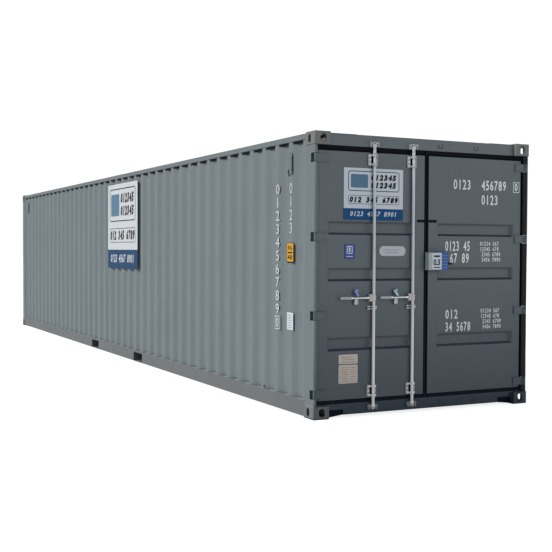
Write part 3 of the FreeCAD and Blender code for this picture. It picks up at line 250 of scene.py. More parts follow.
class Effects:
    """The shader node groups that several finishes share, each made once."""

    weathering: bpy.types.NodeTree | None = None

    @classmethod
    def weathered_and_shaded(cls) -> bpy.types.NodeTree:
        """Age on a coated surface: fading, run marks, settled dirt, rust, and painted shade in hollows, on
        upward faces and low on faces towards the doors.

        Returns:
            The node group.
        """
        if cls.weathering:
            return cls.weathering
        graph, given, put = new_group(
            "Weathering",
            {"Coat": (0.1, 0.1, 0.1), "Dirt": (0.03, 0.035, 0.05), "Rust": (0.10, 0.035, 0.015),
             "Fading": 0.1, "Runs": 0.2, "Crevice Dirt": 0.5, "Settled Dirt": 0.3, "Rust Spots": 0.1,
             "Sheen": 0.45, "Splash": 0.3},
            {"Colour": "NodeSocketColor", "Roughness": "NodeSocketFloat", "Relief": "NodeSocketFloat"})
        place = graph.node("ShaderNodeTexCoord").outputs["Object"]
        normal = graph.node("ShaderNodeNewGeometry").outputs["Normal"]
        upward = graph.node("ShaderNodeSeparateXYZ")
        graph.feed(upward.inputs[0], normal)
        broad = graph.mottle(place, 1.3, 4, 0.6)
        fine = graph.mottle(place, 38, 4, 0.65)
        runs = graph.mottle(place, 1.0, 5, 0.7, (26.0, 26.0, 1.1))
        shade = graph.maths("MULTIPLY_ADD", graph.maths("SUBTRACT", broad, 0.5), given.outputs["Fading"], 1.0)
        shade = graph.maths("MULTIPLY_ADD", graph.maths("SUBTRACT", fine, 0.5),
                            graph.maths("MULTIPLY", given.outputs["Fading"], 0.5), shade)
        tone = graph.node("ShaderNodeCombineColor")
        for socket in tone.inputs[:3]:
            graph.feed(socket, shade)
        colour = graph.blend(1.0, given.outputs["Coat"], tone.outputs[0], Mixing.MULTIPLY)
        marks = graph.maths("MULTIPLY", graph.spread(runs, 0.56, 0.82), given.outputs["Runs"])
        colour = graph.blend(marks, colour, given.outputs["Dirt"])
        # Painted shade: ambient occlusion darkens hollows, corners and creases to the dirt colour, besides
        # real crevice dirt.
        hollow = graph.node("ShaderNodeAmbientOcclusion", samples=6)
        graph.feed(hollow.inputs["Distance"], 0.035)
        shelter = graph.spread(hollow.outputs["AO"], 0.92, 0.35)
        shelter = graph.maths("MULTIPLY", shelter, graph.spread(fine, 0.25, 0.62, 0.45, 1.0))
        colour = graph.blend(graph.maths("MULTIPLY", shelter, given.outputs["Crevice Dirt"]), colour,
                             given.outputs["Dirt"])
        # Upward faces turn to the dirt colour: settled dust, and painted shade on the door's groove slopes
        # that face the darker sky.
        upward_dirt_and_shade = graph.maths("MULTIPLY", graph.spread(upward.outputs["Z"], 0.05, 0.45),
                              graph.spread(broad, 0.2, 0.7, 0.6, 1.0))
        colour = graph.blend(graph.maths("MULTIPLY", upward_dirt_and_shade, given.outputs["Settled Dirt"]), colour,
                             given.outputs["Dirt"])
        # Low faces towards the door end turn dark blue: partly splash dirt, partly painted shade where the
        # ground's bounce light is weak.
        height = graph.node("ShaderNodeSeparateXYZ")
        graph.feed(height.inputs[0], place)
        splash = graph.maths("MULTIPLY", graph.spread(height.outputs["Z"], 1.5, 0.0),
                             graph.spread(upward.outputs["Y"], -0.3, -0.8))
        splash = graph.maths("MULTIPLY", splash, graph.spread(broad, 0.2, 0.7, 0.75, 1.0))
        colour = graph.blend(graph.maths("MULTIPLY", splash, given.outputs["Splash"]), colour, LOW_SHADE_AND_SPLASH_COLOUR)
        spots = graph.mottle(place, 9, 6, 0.72)
        eaten = graph.maths("ADD", spots, graph.maths("MULTIPLY", shelter, 0.12))
        level = graph.maths("SUBTRACT", 0.80, graph.maths("MULTIPLY", given.outputs["Rust Spots"], 0.3))
        eaten = graph.maths("MULTIPLY", graph.maths("SUBTRACT", eaten, level), 18.0, clamp=True)
        tint = graph.blend(graph.spread(fine, 0.3, 0.7), given.outputs["Rust"], BURNT_RUST)
        colour = graph.blend(eaten, colour, tint)
        rough = graph.maths("MULTIPLY_ADD", graph.maths("SUBTRACT", fine, 0.5), 0.22, given.outputs["Sheen"])
        rough = graph.maths("MULTIPLY_ADD", graph.maths("ADD", eaten, upward_dirt_and_shade, clamp=True), 0.25, rough,
                            clamp=True)
        relief = graph.maths("MULTIPLY_ADD", eaten, 0.35, graph.maths("MULTIPLY", fine, 0.4))
        graph.feed(put.inputs["Colour"], colour)
        graph.feed(put.inputs["Roughness"], rough)
        graph.feed(put.inputs["Relief"], relief)
        cls.weathering = graph.tree
        return graph.tree


@dataclass(frozen=True)
class CoatedSteel:
    """Paint or zinc on steel, weathered outdoors, with painted shade and painted reflection where asked.

    Attributes:
        band: least and greatest X of a strip at the door end that is painted darker as painted shade, in
            metres.
        band_shade: the colour of that painted shade.
        eaves: lowest and highest Z, and greatest distance from the middle, of the painted shadow under the
            roof rail.
        low_painted_reflection: the colour that the lower half turns to, a painted reflection of the ground.
    """

    name: str
    coat: Colour
    dirt: Colour = (0.030, 0.034, 0.045)
    rust: Colour = (0.12, 0.045, 0.02)
    fading: float = 0.16
    runs: float = 0.16
    crevice_dirt_and_shade: float = 0.55
    settled_dirt_and_shade: float = 0.45
    rust_spots: float = 0.12
    sheen: float = 0.46
    metallic: float = 0.0
    bump: float = 0.12
    specular: float = 0.4
    splash: float = 0.3
    band: tuple[float, float] | None = None
    band_shade: Colour = (0.006, 0.008, 0.011)
    eaves: tuple[float, float, float] | None = None
    low_painted_reflection: Colour | None = None

    def build(self) -> bpy.types.Material:
        """Make the material.

        Returns:
            The node material.
        """
        material = bpy.data.materials.new(self.name)
        material.use_nodes = True
        graph = Graph(material.node_tree)
        shader = material.node_tree.nodes["Principled BSDF"]
        aged_and_shaded = graph.node("ShaderNodeGroup")
        aged_and_shaded.node_tree = Effects.weathered_and_shaded()
        for label, value in (("Coat", self.coat), ("Dirt", self.dirt), ("Rust", self.rust),
                             ("Fading", self.fading), ("Runs", self.runs),
                             ("Crevice Dirt", self.crevice_dirt_and_shade),
                             ("Settled Dirt", self.settled_dirt_and_shade), ("Rust Spots", self.rust_spots),
                             ("Sheen", self.sheen), ("Splash", self.splash)):
            graph.feed(aged_and_shaded.inputs[label], value)
        shader.inputs["Metallic"].default_value = self.metallic
        shader.inputs["Specular IOR Level"].default_value = self.specular
        colour = aged_and_shaded.outputs["Colour"]
        place = graph.node("ShaderNodeSeparateXYZ")
        graph.feed(place.inputs[0], graph.node("ShaderNodeTexCoord").outputs["Object"])
        # Painted reflection: the lower part turns to a warmer, lighter colour, as of the sunlit ground.
        if self.low_painted_reflection:
            colour = graph.blend(graph.spread(place.outputs["Z"], 1.9, 0.5), colour, self.low_painted_reflection)
        # Painted shade: a strip at the door end turns darker.
        if self.band:
            door_end = graph.spread(place.outputs["Y"], -5.92, -6.04)
            strip = graph.between(place.outputs["X"], *self.band)
            colour = graph.blend(graph.maths("MULTIPLY", strip, door_end), colour, self.band_shade)
        # Painted shadow: near black under the roof rail, where the rail's shadow falls into the troughs.
        if self.eaves:
            low, high, reach = self.eaves
            across = graph.maths("ABSOLUTE", place.outputs["X"])
            inside = graph.maths("MULTIPLY", graph.between(place.outputs["Z"], low, high),
                                 graph.maths("LESS_THAN", across, reach))
            colour = graph.blend(inside, colour, EAVES_PAINTED_SHADOW)
        graph.feed(shader.inputs["Base Color"], colour)
        graph.feed(shader.inputs["Roughness"], aged_and_shaded.outputs["Roughness"])
        bump = graph.node("ShaderNodeBump")
        bump.inputs["Strength"].default_value = self.bump
        bump.inputs["Distance"].default_value = 0.002
        graph.feed(bump.inputs["Height"], aged_and_shaded.outputs["Relief"])
        graph.feed(shader.inputs["Normal"], bump.outputs[0])
        return material


class Finishes:
    """Every material of the container, made once."""

    def __init__(self) -> None:
        """Build the materials."""
        paint = (0.150, 0.176, 0.186)
        navy = (0.021, 0.028, 0.052)
        # The wall and the top rail carry a painted shadow under the roof rail (eaves).
        self.wall = CoatedSteel("wall_paint", (0.166, 0.196, 0.207), fading=0.2, settled_dirt_and_shade=0.2,
                                rust_spots=0.04, runs=0.12, crevice_dirt_and_shade=0.4,
                                eaves=(2.504, 2.6, 1.205)).build()
        self.top_rail = CoatedSteel("top_rail_paint", paint, rust_spots=0.12, settled_dirt_and_shade=0.3,
                                    eaves=(2.52, 2.5306, 1.206)).build()
        self.frame = CoatedSteel("frame_paint", paint, rust_spots=0.12, settled_dirt_and_shade=0.3).build()
        self.post = CoatedSteel("post_paint", (0.152, 0.178, 0.188), rust_spots=0.1).build()
        # The right post's door-end strip is painted near black: painted shade in the recess beside the right
        # leaf.
        self.post_with_painted_shade = CoatedSteel("dark_post_paint", (0.150, 0.176, 0.186), band=(1.10, 1.2035)).build()
        self.rail = CoatedSteel("rail_paint", (0.138, 0.146, 0.154), dirt=(0.07, 0.06, 0.055), runs=0.3,
                                rust_spots=0.18, fading=0.3, crevice_dirt_and_shade=0.3).build()
        # On the doors the settled dirt and the low splash are mostly painted shade: upward groove slopes and
        # the lower part turn dark blue.
        self.door = CoatedSteel("door_paint", (0.112, 0.133, 0.146), dirt=navy, runs=0.2, settled_dirt_and_shade=0.95,
                                crevice_dirt_and_shade=0.35, rust_spots=0.05, fading=0.16, splash=0.6).build()
        self.header = CoatedSteel("header_paint", (0.126, 0.150, 0.162), dirt=navy, rust_spots=0.1).build()
        # The sill's dark navy coat is painted shade: the sill has the container's grey paint, in shade near
        # the ground.
        self.sill = CoatedSteel("sill_paint", (0.018, 0.032, 0.052), dirt=(0.010, 0.015, 0.026), runs=0.3,
                                splash=0.1, rust_spots=0.12, fading=0.5).build()
        # The right bottom casting's door-end strip is painted darker: painted shade.
        self.low_casting = CoatedSteel("low_casting_steel", (0.160, 0.168, 0.172), dirt=(0.014, 0.016, 0.022),
                                       rust=(0.09, 0.06, 0.045), rust_spots=0.3, crevice_dirt_and_shade=0.95,
                                       fading=0.5, sheen=0.6, bump=0.3, splash=0.5, band=(0.9, 1.3),
                                       band_shade=(0.030, 0.042, 0.058)).build()
        self.casting = CoatedSteel("casting_steel", (0.172, 0.172, 0.170), dirt=(0.02, 0.018, 0.018),
                                   rust=(0.11, 0.06, 0.04), rust_spots=0.42, crevice_dirt_and_shade=0.9, fading=0.5,
                                   sheen=0.6, bump=0.3).build()
        self.rusted = CoatedSteel("scarred_steel", (0.060, 0.060, 0.064), rust_spots=0.5, sheen=0.7).build()
        self.roof = CoatedSteel("roof_paint", (0.140, 0.163, 0.172), settled_dirt_and_shade=0.35, rust_spots=0.3,
                                fading=0.3).build()
        self.under = CoatedSteel("underseal", (0.035, 0.033, 0.032), rust_spots=0.35, sheen=0.7).build()
        # The lock rods' zinc turns warmer and lighter towards the bottom: a painted reflection of the ground.
        self.zinc = CoatedSteel("zinc_coat", (0.64, 0.67, 0.71), dirt=(0.24, 0.20, 0.17),
                                rust=(0.36, 0.25, 0.18), runs=0.25, rust_spots=0.2, metallic=0.0,
                                sheen=0.42, crevice_dirt_and_shade=0.7, fading=0.4, splash=0.0,
                                low_painted_reflection=(0.84, 0.81, 0.80)).build()
        self.worn_zinc = CoatedSteel("worn_zinc", (0.44, 0.44, 0.45), dirt=(0.03, 0.03, 0.035),
                                     rust=(0.22, 0.11, 0.07), runs=0.3, rust_spots=0.35, metallic=0.1,
                                     crevice_dirt_and_shade=0.95, fading=0.6).build()
        self.hub_zinc = CoatedSteel("hub_zinc", (0.62, 0.55, 0.53), dirt=(0.10, 0.06, 0.05),
                                    rust=(0.26, 0.13, 0.09), runs=0.3, rust_spots=0.5, crevice_dirt_and_shade=0.6,
                                    fading=0.5).build()
        self.bright_zinc = CoatedSteel("bright_zinc", (0.86, 0.87, 0.88), dirt=(0.16, 0.14, 0.13), runs=0.15,
                                       rust_spots=0.1, metallic=0.0, sheen=0.36, crevice_dirt_and_shade=0.4).build()
        self.dark_steel = CoatedSteel("dark_steel", (0.010, 0.012, 0.015), rust_spots=0.1, sheen=0.5,
                                      specular=0.25).build()
        # Near black for openings, holes and recesses: painted shade.
        self.dark_gap = CoatedSteel("dark_gap", (0.004, 0.005, 0.007), rust_spots=0.0, sheen=0.8,
                                    dirt=(0.003, 0.004, 0.006), specular=0.05).build()
        self.pale_grey = CoatedSteel("pale_grey_paint", (0.40, 0.43, 0.44), rust_spots=0.12).build()
        self.rubber = CoatedSteel("door_rubber", (0.004, 0.006, 0.009), dirt=(0.010, 0.012, 0.016), runs=0.2,
                                  rust_spots=0.0, sheen=0.8, settled_dirt_and_shade=0.1, crevice_dirt_and_shade=0.1,
                                  specular=0.12).build()
        self.blue = CoatedSteel("blue_paint", (0.035, 0.105, 0.36), rust_spots=0.08, sheen=0.4,
                                specular=0.3).build()
        self.blue_flap = CoatedSteel("blue_flap_paint", (0.20, 0.27, 0.66), rust_spots=0.1,
                                     sheen=0.35).build()
        self.pale_blue = CoatedSteel("pale_blue_paint", (0.42, 0.60, 0.70), rust_spots=0.12).build()
        self.ply = CoatedSteel("floor_ply", (0.20, 0.115, 0.06), dirt=(0.05, 0.035, 0.025), runs=0.0,
                               rust_spots=0.0, sheen=0.55, fading=0.5).build()
        self.white_vinyl = self.vinyl("white_vinyl", (0.60, 0.635, 0.69))
        self.side_white = self.vinyl("side_board_white", (0.58, 0.595, 0.61))
        self.blue_vinyl = self.vinyl("blue_vinyl", (0.004, 0.070, 0.200))
        self.dark_blue_vinyl = self.vinyl("dark_blue_vinyl", (0.008, 0.045, 0.080))
        self.side_blue = self.vinyl("side_board_blue", (0.012, 0.056, 0.135))
        self.grey_blue_vinyl = self.vinyl("grey_blue_vinyl", (0.10, 0.19, 0.29))
        self.violet_vinyl = self.vinyl("violet_vinyl", (0.055, 0.085, 0.30))
        self.dark_vinyl = self.vinyl("dark_vinyl", (0.008, 0.009, 0.012))
        self.yellow_vinyl = self.vinyl("yellow_vinyl", (0.66, 0.33, 0.02))
        self.pale_plate = self.vinyl("pale_plate", (0.54, 0.56, 0.60))
        self.faint_ink = self.vinyl("faint_ink", (0.33, 0.35, 0.38))
        self.plate_ink = self.vinyl("plate_ink", (0.34, 0.27, 0.22))
        self.stencil = CoatedSteel("stencil_paint", (0.80, 0.82, 0.84), dirt=(0.22, 0.24, 0.26), runs=0.3,
                                   rust_spots=0.0, settled_dirt_and_shade=0.0, bump=0.02, fading=0.35).build()
        self.side_stencil = CoatedSteel("side_stencil_paint", (0.60, 0.595, 0.59), dirt=(0.26, 0.27, 0.28),
                                        runs=0.6, rust_spots=0.0, settled_dirt_and_shade=0.0, bump=0.02,
                                        fading=0.3).build()
        self.plate = CoatedSteel("data_plate_metal", (0.68, 0.58, 0.51), dirt=(0.26, 0.20, 0.17), runs=0.3,
                                 rust_spots=0.06, settled_dirt_and_shade=0.0, fading=0.35).build()

    @staticmethod
    def vinyl(name: str, colour: Colour) -> bpy.types.Material:
        """A smooth film or plastic sheet, only a little dirty."""
        return CoatedSteel(name, colour, runs=0.1, rust_spots=0.0, settled_dirt_and_shade=0.0, sheen=0.5, bump=0.02,
                           specular=0.15).build()


# ------------------------------------------------------------------ meshes
@dataclass(frozen=True)
class Face:
    """A flat place on the container, with its own right, upward and outward directions, in millimetres."""

    origin: Vector
    right: Vector
    up: Vector = Vector((0.0, 0.0, 1.0))

    def at(self, across: float, level: float, out: float = 0.0) -> Vector:
        """Find a point by its distances from the origin.

        Args:
            across: distance to the right.
            level: distance upward.
            out: distance outward.

        Returns:
            The point in the row frame.
        """
        return self.origin + self.right * across + self.up * level + self.right.cross(self.up) * out


class Glyphs:
    """Outlines of the plain digits, each made once."""

    made: dict[tuple[str, float], tuple[Outline, list[tuple[int, ...]]]] = {}

    @classmethod
    def outline(cls, character: str, weight: float = 0.0) -> tuple[Outline, list[tuple[int, ...]]]:
        """Read one character's flat mesh, one unit high and starting at zero.

        Args:
            character: a digit or a plain mark.
            weight: how much its strokes are thickened.

        Returns:
            The points and the faces between them.
        """
        key = (character, weight)
        if key not in cls.made:
            data = bpy.data.curves.new("glyph", "FONT")
            data.body = character
            data.offset = weight
            data.resolution_u = 3
            holder = bpy.data.objects.new("glyph", data)
            mesh = bpy.data.meshes.new_from_object(holder)
            points = [(vertex.co.x, vertex.co.y) for vertex in mesh.vertices]
            left = min(point[0] for point in points)
            base, top = min(point[1] for point in points), max(point[1] for point in points)
            rise = max(top - base, 0.2)
            cls.made[key] = ([((x - left) / rise, (y - base) / rise) for x, y in points],
                             [tuple(polygon.vertices) for polygon in mesh.polygons])
            for block in (holder, data):
                (bpy.data.objects if block is holder else bpy.data.curves).remove(block)
            bpy.data.meshes.remove(mesh)
        return cls.made[key]


class Shape:
    """A mesh under construction, in millimetres of the row frame."""

    def __init__(self) -> None:
        """Start empty."""
        self.mesh = bmesh.new()

    def loft(self, rings: Sequence[Sequence[Point]], caps: bool = True, closed: bool = True) -> None:
        """Skin a row of rings that have as many points each.

        Args:
            rings: the rings, in order.
            caps: whether the first and last ring are filled.
            closed: whether each ring's last point joins its first.
        """
        rows = [[self.mesh.verts.new(point) for point in ring] for ring in rings]
        count = len(rows[0])
        for near, far in zip(rows, rows[1:]):
            for index in range(count if closed else count - 1):
                after = (index + 1) % count
                self.mesh.faces.new((near[index], near[after], far[after], far[index]))
        if caps:
            self.mesh.faces.new(list(reversed(rows[0])))
            self.mesh.faces.new(rows[-1])

    def shell(self, outer: Sequence[Sequence[bmesh.types.BMVert]],
              inner: Sequence[Sequence[bmesh.types.BMVert]]) -> None:
        """Close two grids of points of one size into a thin sheet.

        Args:
            outer: the rows of the outer skin.
            inner: the rows of the inner skin.
        """
        for skin, turned in ((outer, False), (inner, True)):
            for lower, upper in zip(skin, skin[1:]):
                for index in range(len(lower) - 1):
                    corners = (lower[index], lower[index + 1], upper[index + 1], upper[index])
                    self.mesh.faces.new(corners[::-1] if turned else corners)
        rims = (([row[0] for row in outer], [row[0] for row in inner]),
                ([row[-1] for row in inner], [row[-1] for row in outer]),
                (inner[0], outer[0]), (outer[-1], inner[-1]))
        for first, second in rims:
            for index in range(len(first) - 1):
                self.mesh.faces.new((first[index], first[index + 1], second[index + 1], second[index]))

    def block(self, low: Point, high: Point) -> None:
        """Add a rectangular block."""
        ring = [(low[0], low[1]), (high[0], low[1]), (high[0], high[1]), (low[0], high[1])]
        self.loft([[(x, y, level) for x, y in ring] for level in (low[2], high[2])])

    def prism(self, face: Face, outline: Sequence[tuple[float, float]], low: float, high: float) -> None:
        """Raise an outline from a face.

        Args:
            face: the face that it stands on.
            outline: its corners, as distances across and upward.
            low: where it starts, outward.
            high: where it ends, outward.
        """
        self.loft([[face.at(across, level, out) for across, level in outline] for out in (low, high)])

    def plate(self, face: Face, span: Span, low: float, high: float,
              corner: float = 0.0) -> None:
        """Add a flat plate, with rounded corners if asked.

        Args:
            face: the face that it lies on.
            span: left, right, lower and upper edge.
            low: where it starts, outward.
            high: where it ends, outward.
            corner: radius of the corners.
        """
        self.prism(face, rounded_box(span, corner), low, high)

    def border(self, face: Face, span: Span, band: float, low: float,
               high: float, corner: float = 0.0) -> None:
        """Add a flat frame, open in its middle.

        Args:
            face: the face that it lies on.
            span: left, right, lower and upper edge, outside.
            band: its breadth.
            low: where it starts, outward.
            high: where it ends, outward.
            corner: outer radius of the corners.
        """
        inside = (span[0] + band, span[1] - band, span[2] + band, span[3] - band)
        outer, inner = rounded_box(span, corner), rounded_box(inside, max(corner - band, 0.1 * corner))
        rings = [[face.at(a, b, out) for a, b in path]
                 for path, out in ((outer, low), (outer, high), (inner, high), (inner, low), (outer, low))]
        self.loft(rings, caps=False)

    def rod(self, start: Point, end: Point, radius: float, sides: int = 20,
            tip: float | None = None) -> None:
        """Add a round bar, tapered if its tip has another radius."""
        along = Vector(end) - Vector(start)
        self.turned(start, along, [(radius, 0.0), (radius if tip is None else tip, along.length)], sides)

    def turned(self, foot: Point, along: Point, profile: Sequence[tuple[float, float]],
               sides: int = 24) -> None:
        """Add a turned piece.

        Args:
            foot: the point that its profile starts from.
            along: the direction of its axis.
            profile: pairs of radius and distance along the axis.
            sides: sides of each ring.
        """
        axis = Vector(along).normalized()
        first = axis.orthogonal().normalized()
        second = axis.cross(first)
        rings = []
        for radius, run in profile:
            middle = Vector(foot) + axis * run
            rings.append([middle + (first * math.cos(turn) + second * math.sin(turn)) * max(radius, 0.02)
                          for turn in (math.tau * index / sides for index in range(sides))])
        self.loft(rings)

    def bent_bar(self, path: Sequence[Point], radius: float, sides: int = 8, closed: bool = False,
                 flat: float = 1.0) -> None:
        """Sweep a round section along a path.

        Args:
            path: the points that it follows.
            radius: the section's radius.
            sides: sides of the section.
            closed: whether the path joins up.
            flat: how thick the section is across the path's plane, as a share.
        """
        points = [Vector(point) for point in path]
        rings, count = [], len(points)
        side = None
        for index, point in enumerate(points):
            ahead = points[(index + 1) % count] if closed or index < count - 1 else point
            behind = points[index - 1] if closed or index > 0 else point
            along = (ahead - behind).normalized()
            side = along.orthogonal() if side is None else side - along * side.dot(along)
            side.normalize()
            other = along.cross(side)
            rings.append([point + (side * math.cos(turn) + other * math.sin(turn) * flat) * radius
                          for turn in (math.tau * step / sides for step in range(sides))])
        self.loft(rings + rings[:1] if closed else rings, caps=not closed)

    def bead(self, start: Point, end: Point, radius: float, step: float = 14.0, seed: int = 0) -> None:
        """Lay an uneven weld bead between two points.

        Args:
            start: where it begins.
            end: where it ends.
            radius: its mean radius.
            step: distance from one ripple to the next.
            seed: picks the pattern of the ripples.
        """
        start, end = Vector(start), Vector(end)
        count = max(int((end - start).length / step), 2)
        path = [start.lerp(end, index / count) for index in range(count + 1)]
        rings = []
        along = (end - start).normalized()
        first = along.orthogonal().normalized()
        second = along.cross(first)
        for index, point in enumerate(path):
            swell = radius * (1 + 0.22 * noise.noise((index * 0.9, seed, 0.3)))
            rings.append([point + (first * math.cos(turn) + second * math.sin(turn)) * swell
                          for turn in (math.tau * part / 6 for part in range(6))])
        self.loft(rings)

    def bolt(self, foot: Point, out: Point, across: float = 19.0, height: float = 9.0,
             washer: bool = True) -> None:
        """Add a hexagon head on a washer.

        Args:
            foot: the point under the head's middle.
            out: the direction that the head faces.
            across: its width over the corners.
            height: its height.
            washer: whether a washer lies under it.
        """
        axis = Vector(out).normalized()
        foot = Vector(foot)
        if washer:
            self.turned(foot, axis, [(across * 0.62, 0), (across * 0.62, 1.6), (across * 0.45, 2.0)], 16)
            foot = foot + axis * 1.8
        half = across / 2
        self.turned(foot, axis, [(half, 0), (half, height * 0.82), (half * 0.86, height)], 6)

    def rivet(self, foot: Point, out: Point, radius: float = 5.0) -> None:
        """Add a low domed head."""
        self.turned(foot, out, [(radius, 0), (radius * 0.9, radius * 0.3), (radius * 0.55, radius * 0.55),
                                (radius * 0.1, radius * 0.62)], 12)

    def marks(self, face: Face, text: str, left: float, base: float, height: float, low: float, high: float,
              pitch: float, weight: float = 0.0, slant: float = 0.0) -> None:
        """Write plain digits on a face.

        Args:
            face: the face that they lie on.
            text: the digits; a space leaves a gap.
            left: where the first one starts.
            base: their lower edge.
            height: their height.
            low: where they start, outward.
            high: where they end, outward.
            pitch: distance from one digit to the next.
            weight: how much the strokes are thickened.
            slant: how far the top leans to the right, as a share of the width.
        """
        for place, character in enumerate(text):
            if character == " ":
                continue
            points, faces = Glyphs.outline(character, weight)
            wide = max(point[0] for point in points)
            stretch = pitch * 0.8 / (height * 0.66)
            start = left + place * pitch + max(pitch * 0.8 - wide * height * stretch, 0) / 2
            spots = [(start + (x + slant * y) * height * stretch, base + y * height) for x, y in points]
            rows = [[self.mesh.verts.new(face.at(*spot, out)) for spot in spots] for out in (low, high)]
            for corners in faces:
                self.mesh.faces.new([rows[1][index] for index in corners])
                self.mesh.faces.new([rows[0][index] for index in reversed(corners)])
            edges: dict[tuple[int, int], int] = {}
            for corners in faces:
                for index, corner in enumerate(corners):
                    pair = (corner, corners[(index + 1) % len(corners)])
                    edges[pair] = edges.get(pair, 0) + 1
            for first, second in edges:
                if (second, first) not in edges:
                    self.mesh.faces.new((rows[0][first], rows[0][second], rows[1][second], rows[1][first]))

    def finish(self, name: str, body: str, material: bpy.types.Material, replaces: Iterable[str] = (),
               bevel: float = 0.0, segments: int = 2, smooth: float = 35.0, weld: bool = True,
               slot: str | None = None, flat: bool = False) -> bpy.types.Object:
        """Turn the mesh into a piece of the container.

        Args:
            name: the piece's name.
            body: the body that carries it.
            material: its finish.
            replaces: the frame's nodes that it stands for.
            bevel: width of its softened edges.
            segments: steps across a softened edge.
            smooth: greatest angle in degrees that is shaded as a curve.
            weld: whether points that coincide become one.
            slot: not used.
            flat: whether large faces keep their flat shading.

        Returns:
            The piece.
        """
        if weld:
            bmesh.ops.remove_doubles(self.mesh, verts=self.mesh.verts[:], dist=0.01)
        bmesh.ops.recalc_face_normals(self.mesh, faces=self.mesh.faces[:])
        bmesh.ops.scale(self.mesh, vec=(MM, MM, MM), verts=self.mesh.verts[:])
        data = bpy.data.meshes.new(name)
        self.mesh.to_mesh(data)
        self.mesh.free()
        data.materials.append(material)
        data.shade_smooth()
        data.set_sharp_from_angle(angle=math.radians(smooth))
        piece = bpy.data.objects.new(name, data)
        bpy.context.scene.collection.objects.link(piece)
        if bevel:
            soften(piece, bevel, segments)
        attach(piece, body)
        if replaces:
            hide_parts(*replaces)
        if flat:
            piece.modifiers.new("flat_faces", "WEIGHTED_NORMAL").keep_sharp = True
        log.info("%s on %s: %d faces", name, body, len(data.polygons))
        return piece


def soften(piece: bpy.types.Object, width: float, segments: int = 2) -> None:
    """Round the sharp edges of a piece.

    Args:
        piece: the object.
        width: width of the rounding, in millimetres.
        segments: steps across it.
    """
    bevel = piece.modifiers.new("softened_edges", "BEVEL")
    bevel.width = width * MM
    bevel.segments = segments
    bevel.limit_method = "ANGLE"
    bevel.angle_limit = math.radians(38)
    bevel.harden_normals = True


def rounded_box(span: Span, corner: float, steps: int = 5) -> Outline:
    """Corners of a rectangle with rounded corners.

    Args:
        span: left, right, lower and upper edge.
        corner: radius of the corners.
        steps: parts of each rounded corner.

    Returns:
        The corners, anticlockwise.
    """
    left, right, low, high = span
    if corner <= 0:
        return [(left, low), (right, low), (right, high), (left, high)]
    middles = ((right - corner, low + corner, -90), (right - corner, high - corner, 0),
               (left + corner, high - corner, 90), (left + corner, low + corner, 180))
    return [(across + corner * math.cos(math.radians(start + 90 * step / steps)),
             level + corner * math.sin(math.radians(start + 90 * step / steps)))
            for across, level, start in middles for step in range(steps + 1)]


def span_of(node: str) -> tuple[Vector, Vector]:
    """Lowest and highest corner of a node of the frame, in millimetres."""
    low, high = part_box(node)
    return low / MM, high / MM


def ramp(place: float, start: float, end: float) -> float:
    """Smooth step from 0 at start to 1 at end."""
    share = min(max((place - start) / (end - start), 0.0), 1.0)
    return share * share * (3 - 2 * share) * 0.5 + share * 0.5


def dimple(x: float, y: float, seed: float, scale: float = 0.0016) -> float:
    """Gentle unevenness of a sheet, between about -1 and 1."""
    broad = noise.noise((x * scale, y * scale, seed))
    return broad + 0.4 * noise.noise((x * scale * 3, y * scale * 3, seed + 7))


@dataclass(frozen=True)
class Pressing:
    """A trapezoid pressed into a sheet: its mouth, its slopes and its depth."""

    left: float
    right: float
    low: float
    high: float
    slope: float
    end_slope: float
    depth: float

    def fall(self, across: float, level: float) -> float:
        """How deep the sheet lies at a place."""
        return self.depth * min(ramp(across, self.left, self.left + self.end_slope),
                                ramp(-across, -self.right, -self.right + self.end_slope),
                                ramp(level, self.low, self.low + self.slope),
                                ramp(-level, -self.high, -self.high + self.slope))


@dataclass
class PressedSheet:
    """A sheet with trapezoids pressed into it, slightly uneven."""

    face: Face
    span: Span
    pressings: Sequence[Pressing]
    thickness: float = 2.0
    wave: float = 1.2
    coarse: float = 180.0
    seed: float = 1.0

    def lines(self, low: float, high: float, breaks: Iterable[tuple[float, float]]) -> list[float]:
        """Grid lines: close over each slope, far apart between.

        Args:
            low: the first line.
            high: the last line.
            breaks: start and end of each slope.

        Returns:
            The lines' places, in order.
        """
        places = {low, high}
        for start, end in breaks:
            reach = (end - start) / 6
            places.update(start + reach * step for step in range(7))
        ordered = sorted(places)
        filled = [ordered[0]]
        for place in ordered[1:]:
            parts = max(int((place - filled[-1]) / self.coarse), 1)
            start = filled[-1]
            filled += [start + (place - start) * (part + 1) / parts for part in range(parts)]
        return filled

    def build(self, shape: Shape) -> None:
        """Add the sheet to a mesh.

        Args:
            shape: the mesh that takes it.
        """
        left, right, low, high = self.span
        ends, sides = set(), set()
        for press in self.pressings:
            ends.update({(press.left, press.left + press.end_slope),
                         (press.right - press.end_slope, press.right)})
            sides.update({(press.low, press.low + press.slope), (press.high - press.slope, press.high)})
        columns, rows = self.lines(left, right, ends), self.lines(low, high, sides)
        skins = []
        for lift in (0.0, -self.thickness):
            skin = []
            for level in rows:
                near = [press for press in self.pressings if press.low - 1 < level < press.high + 1]
                row = []
                for across in columns:
                    fall = max((press.fall(across, level) for press in near), default=0.0)
                    edge = min(across - left, right - across, level - low, high - level)
                    bow = (dimple(across, level, self.seed) - 1.2) * self.wave * min(edge / 150, 1.0)
                    row.append(shape.mesh.verts.new(self.face.at(across, level, lift - fall + bow)))
                skin.append(row)
            skins.append(skin)
        shape.shell(*skins)


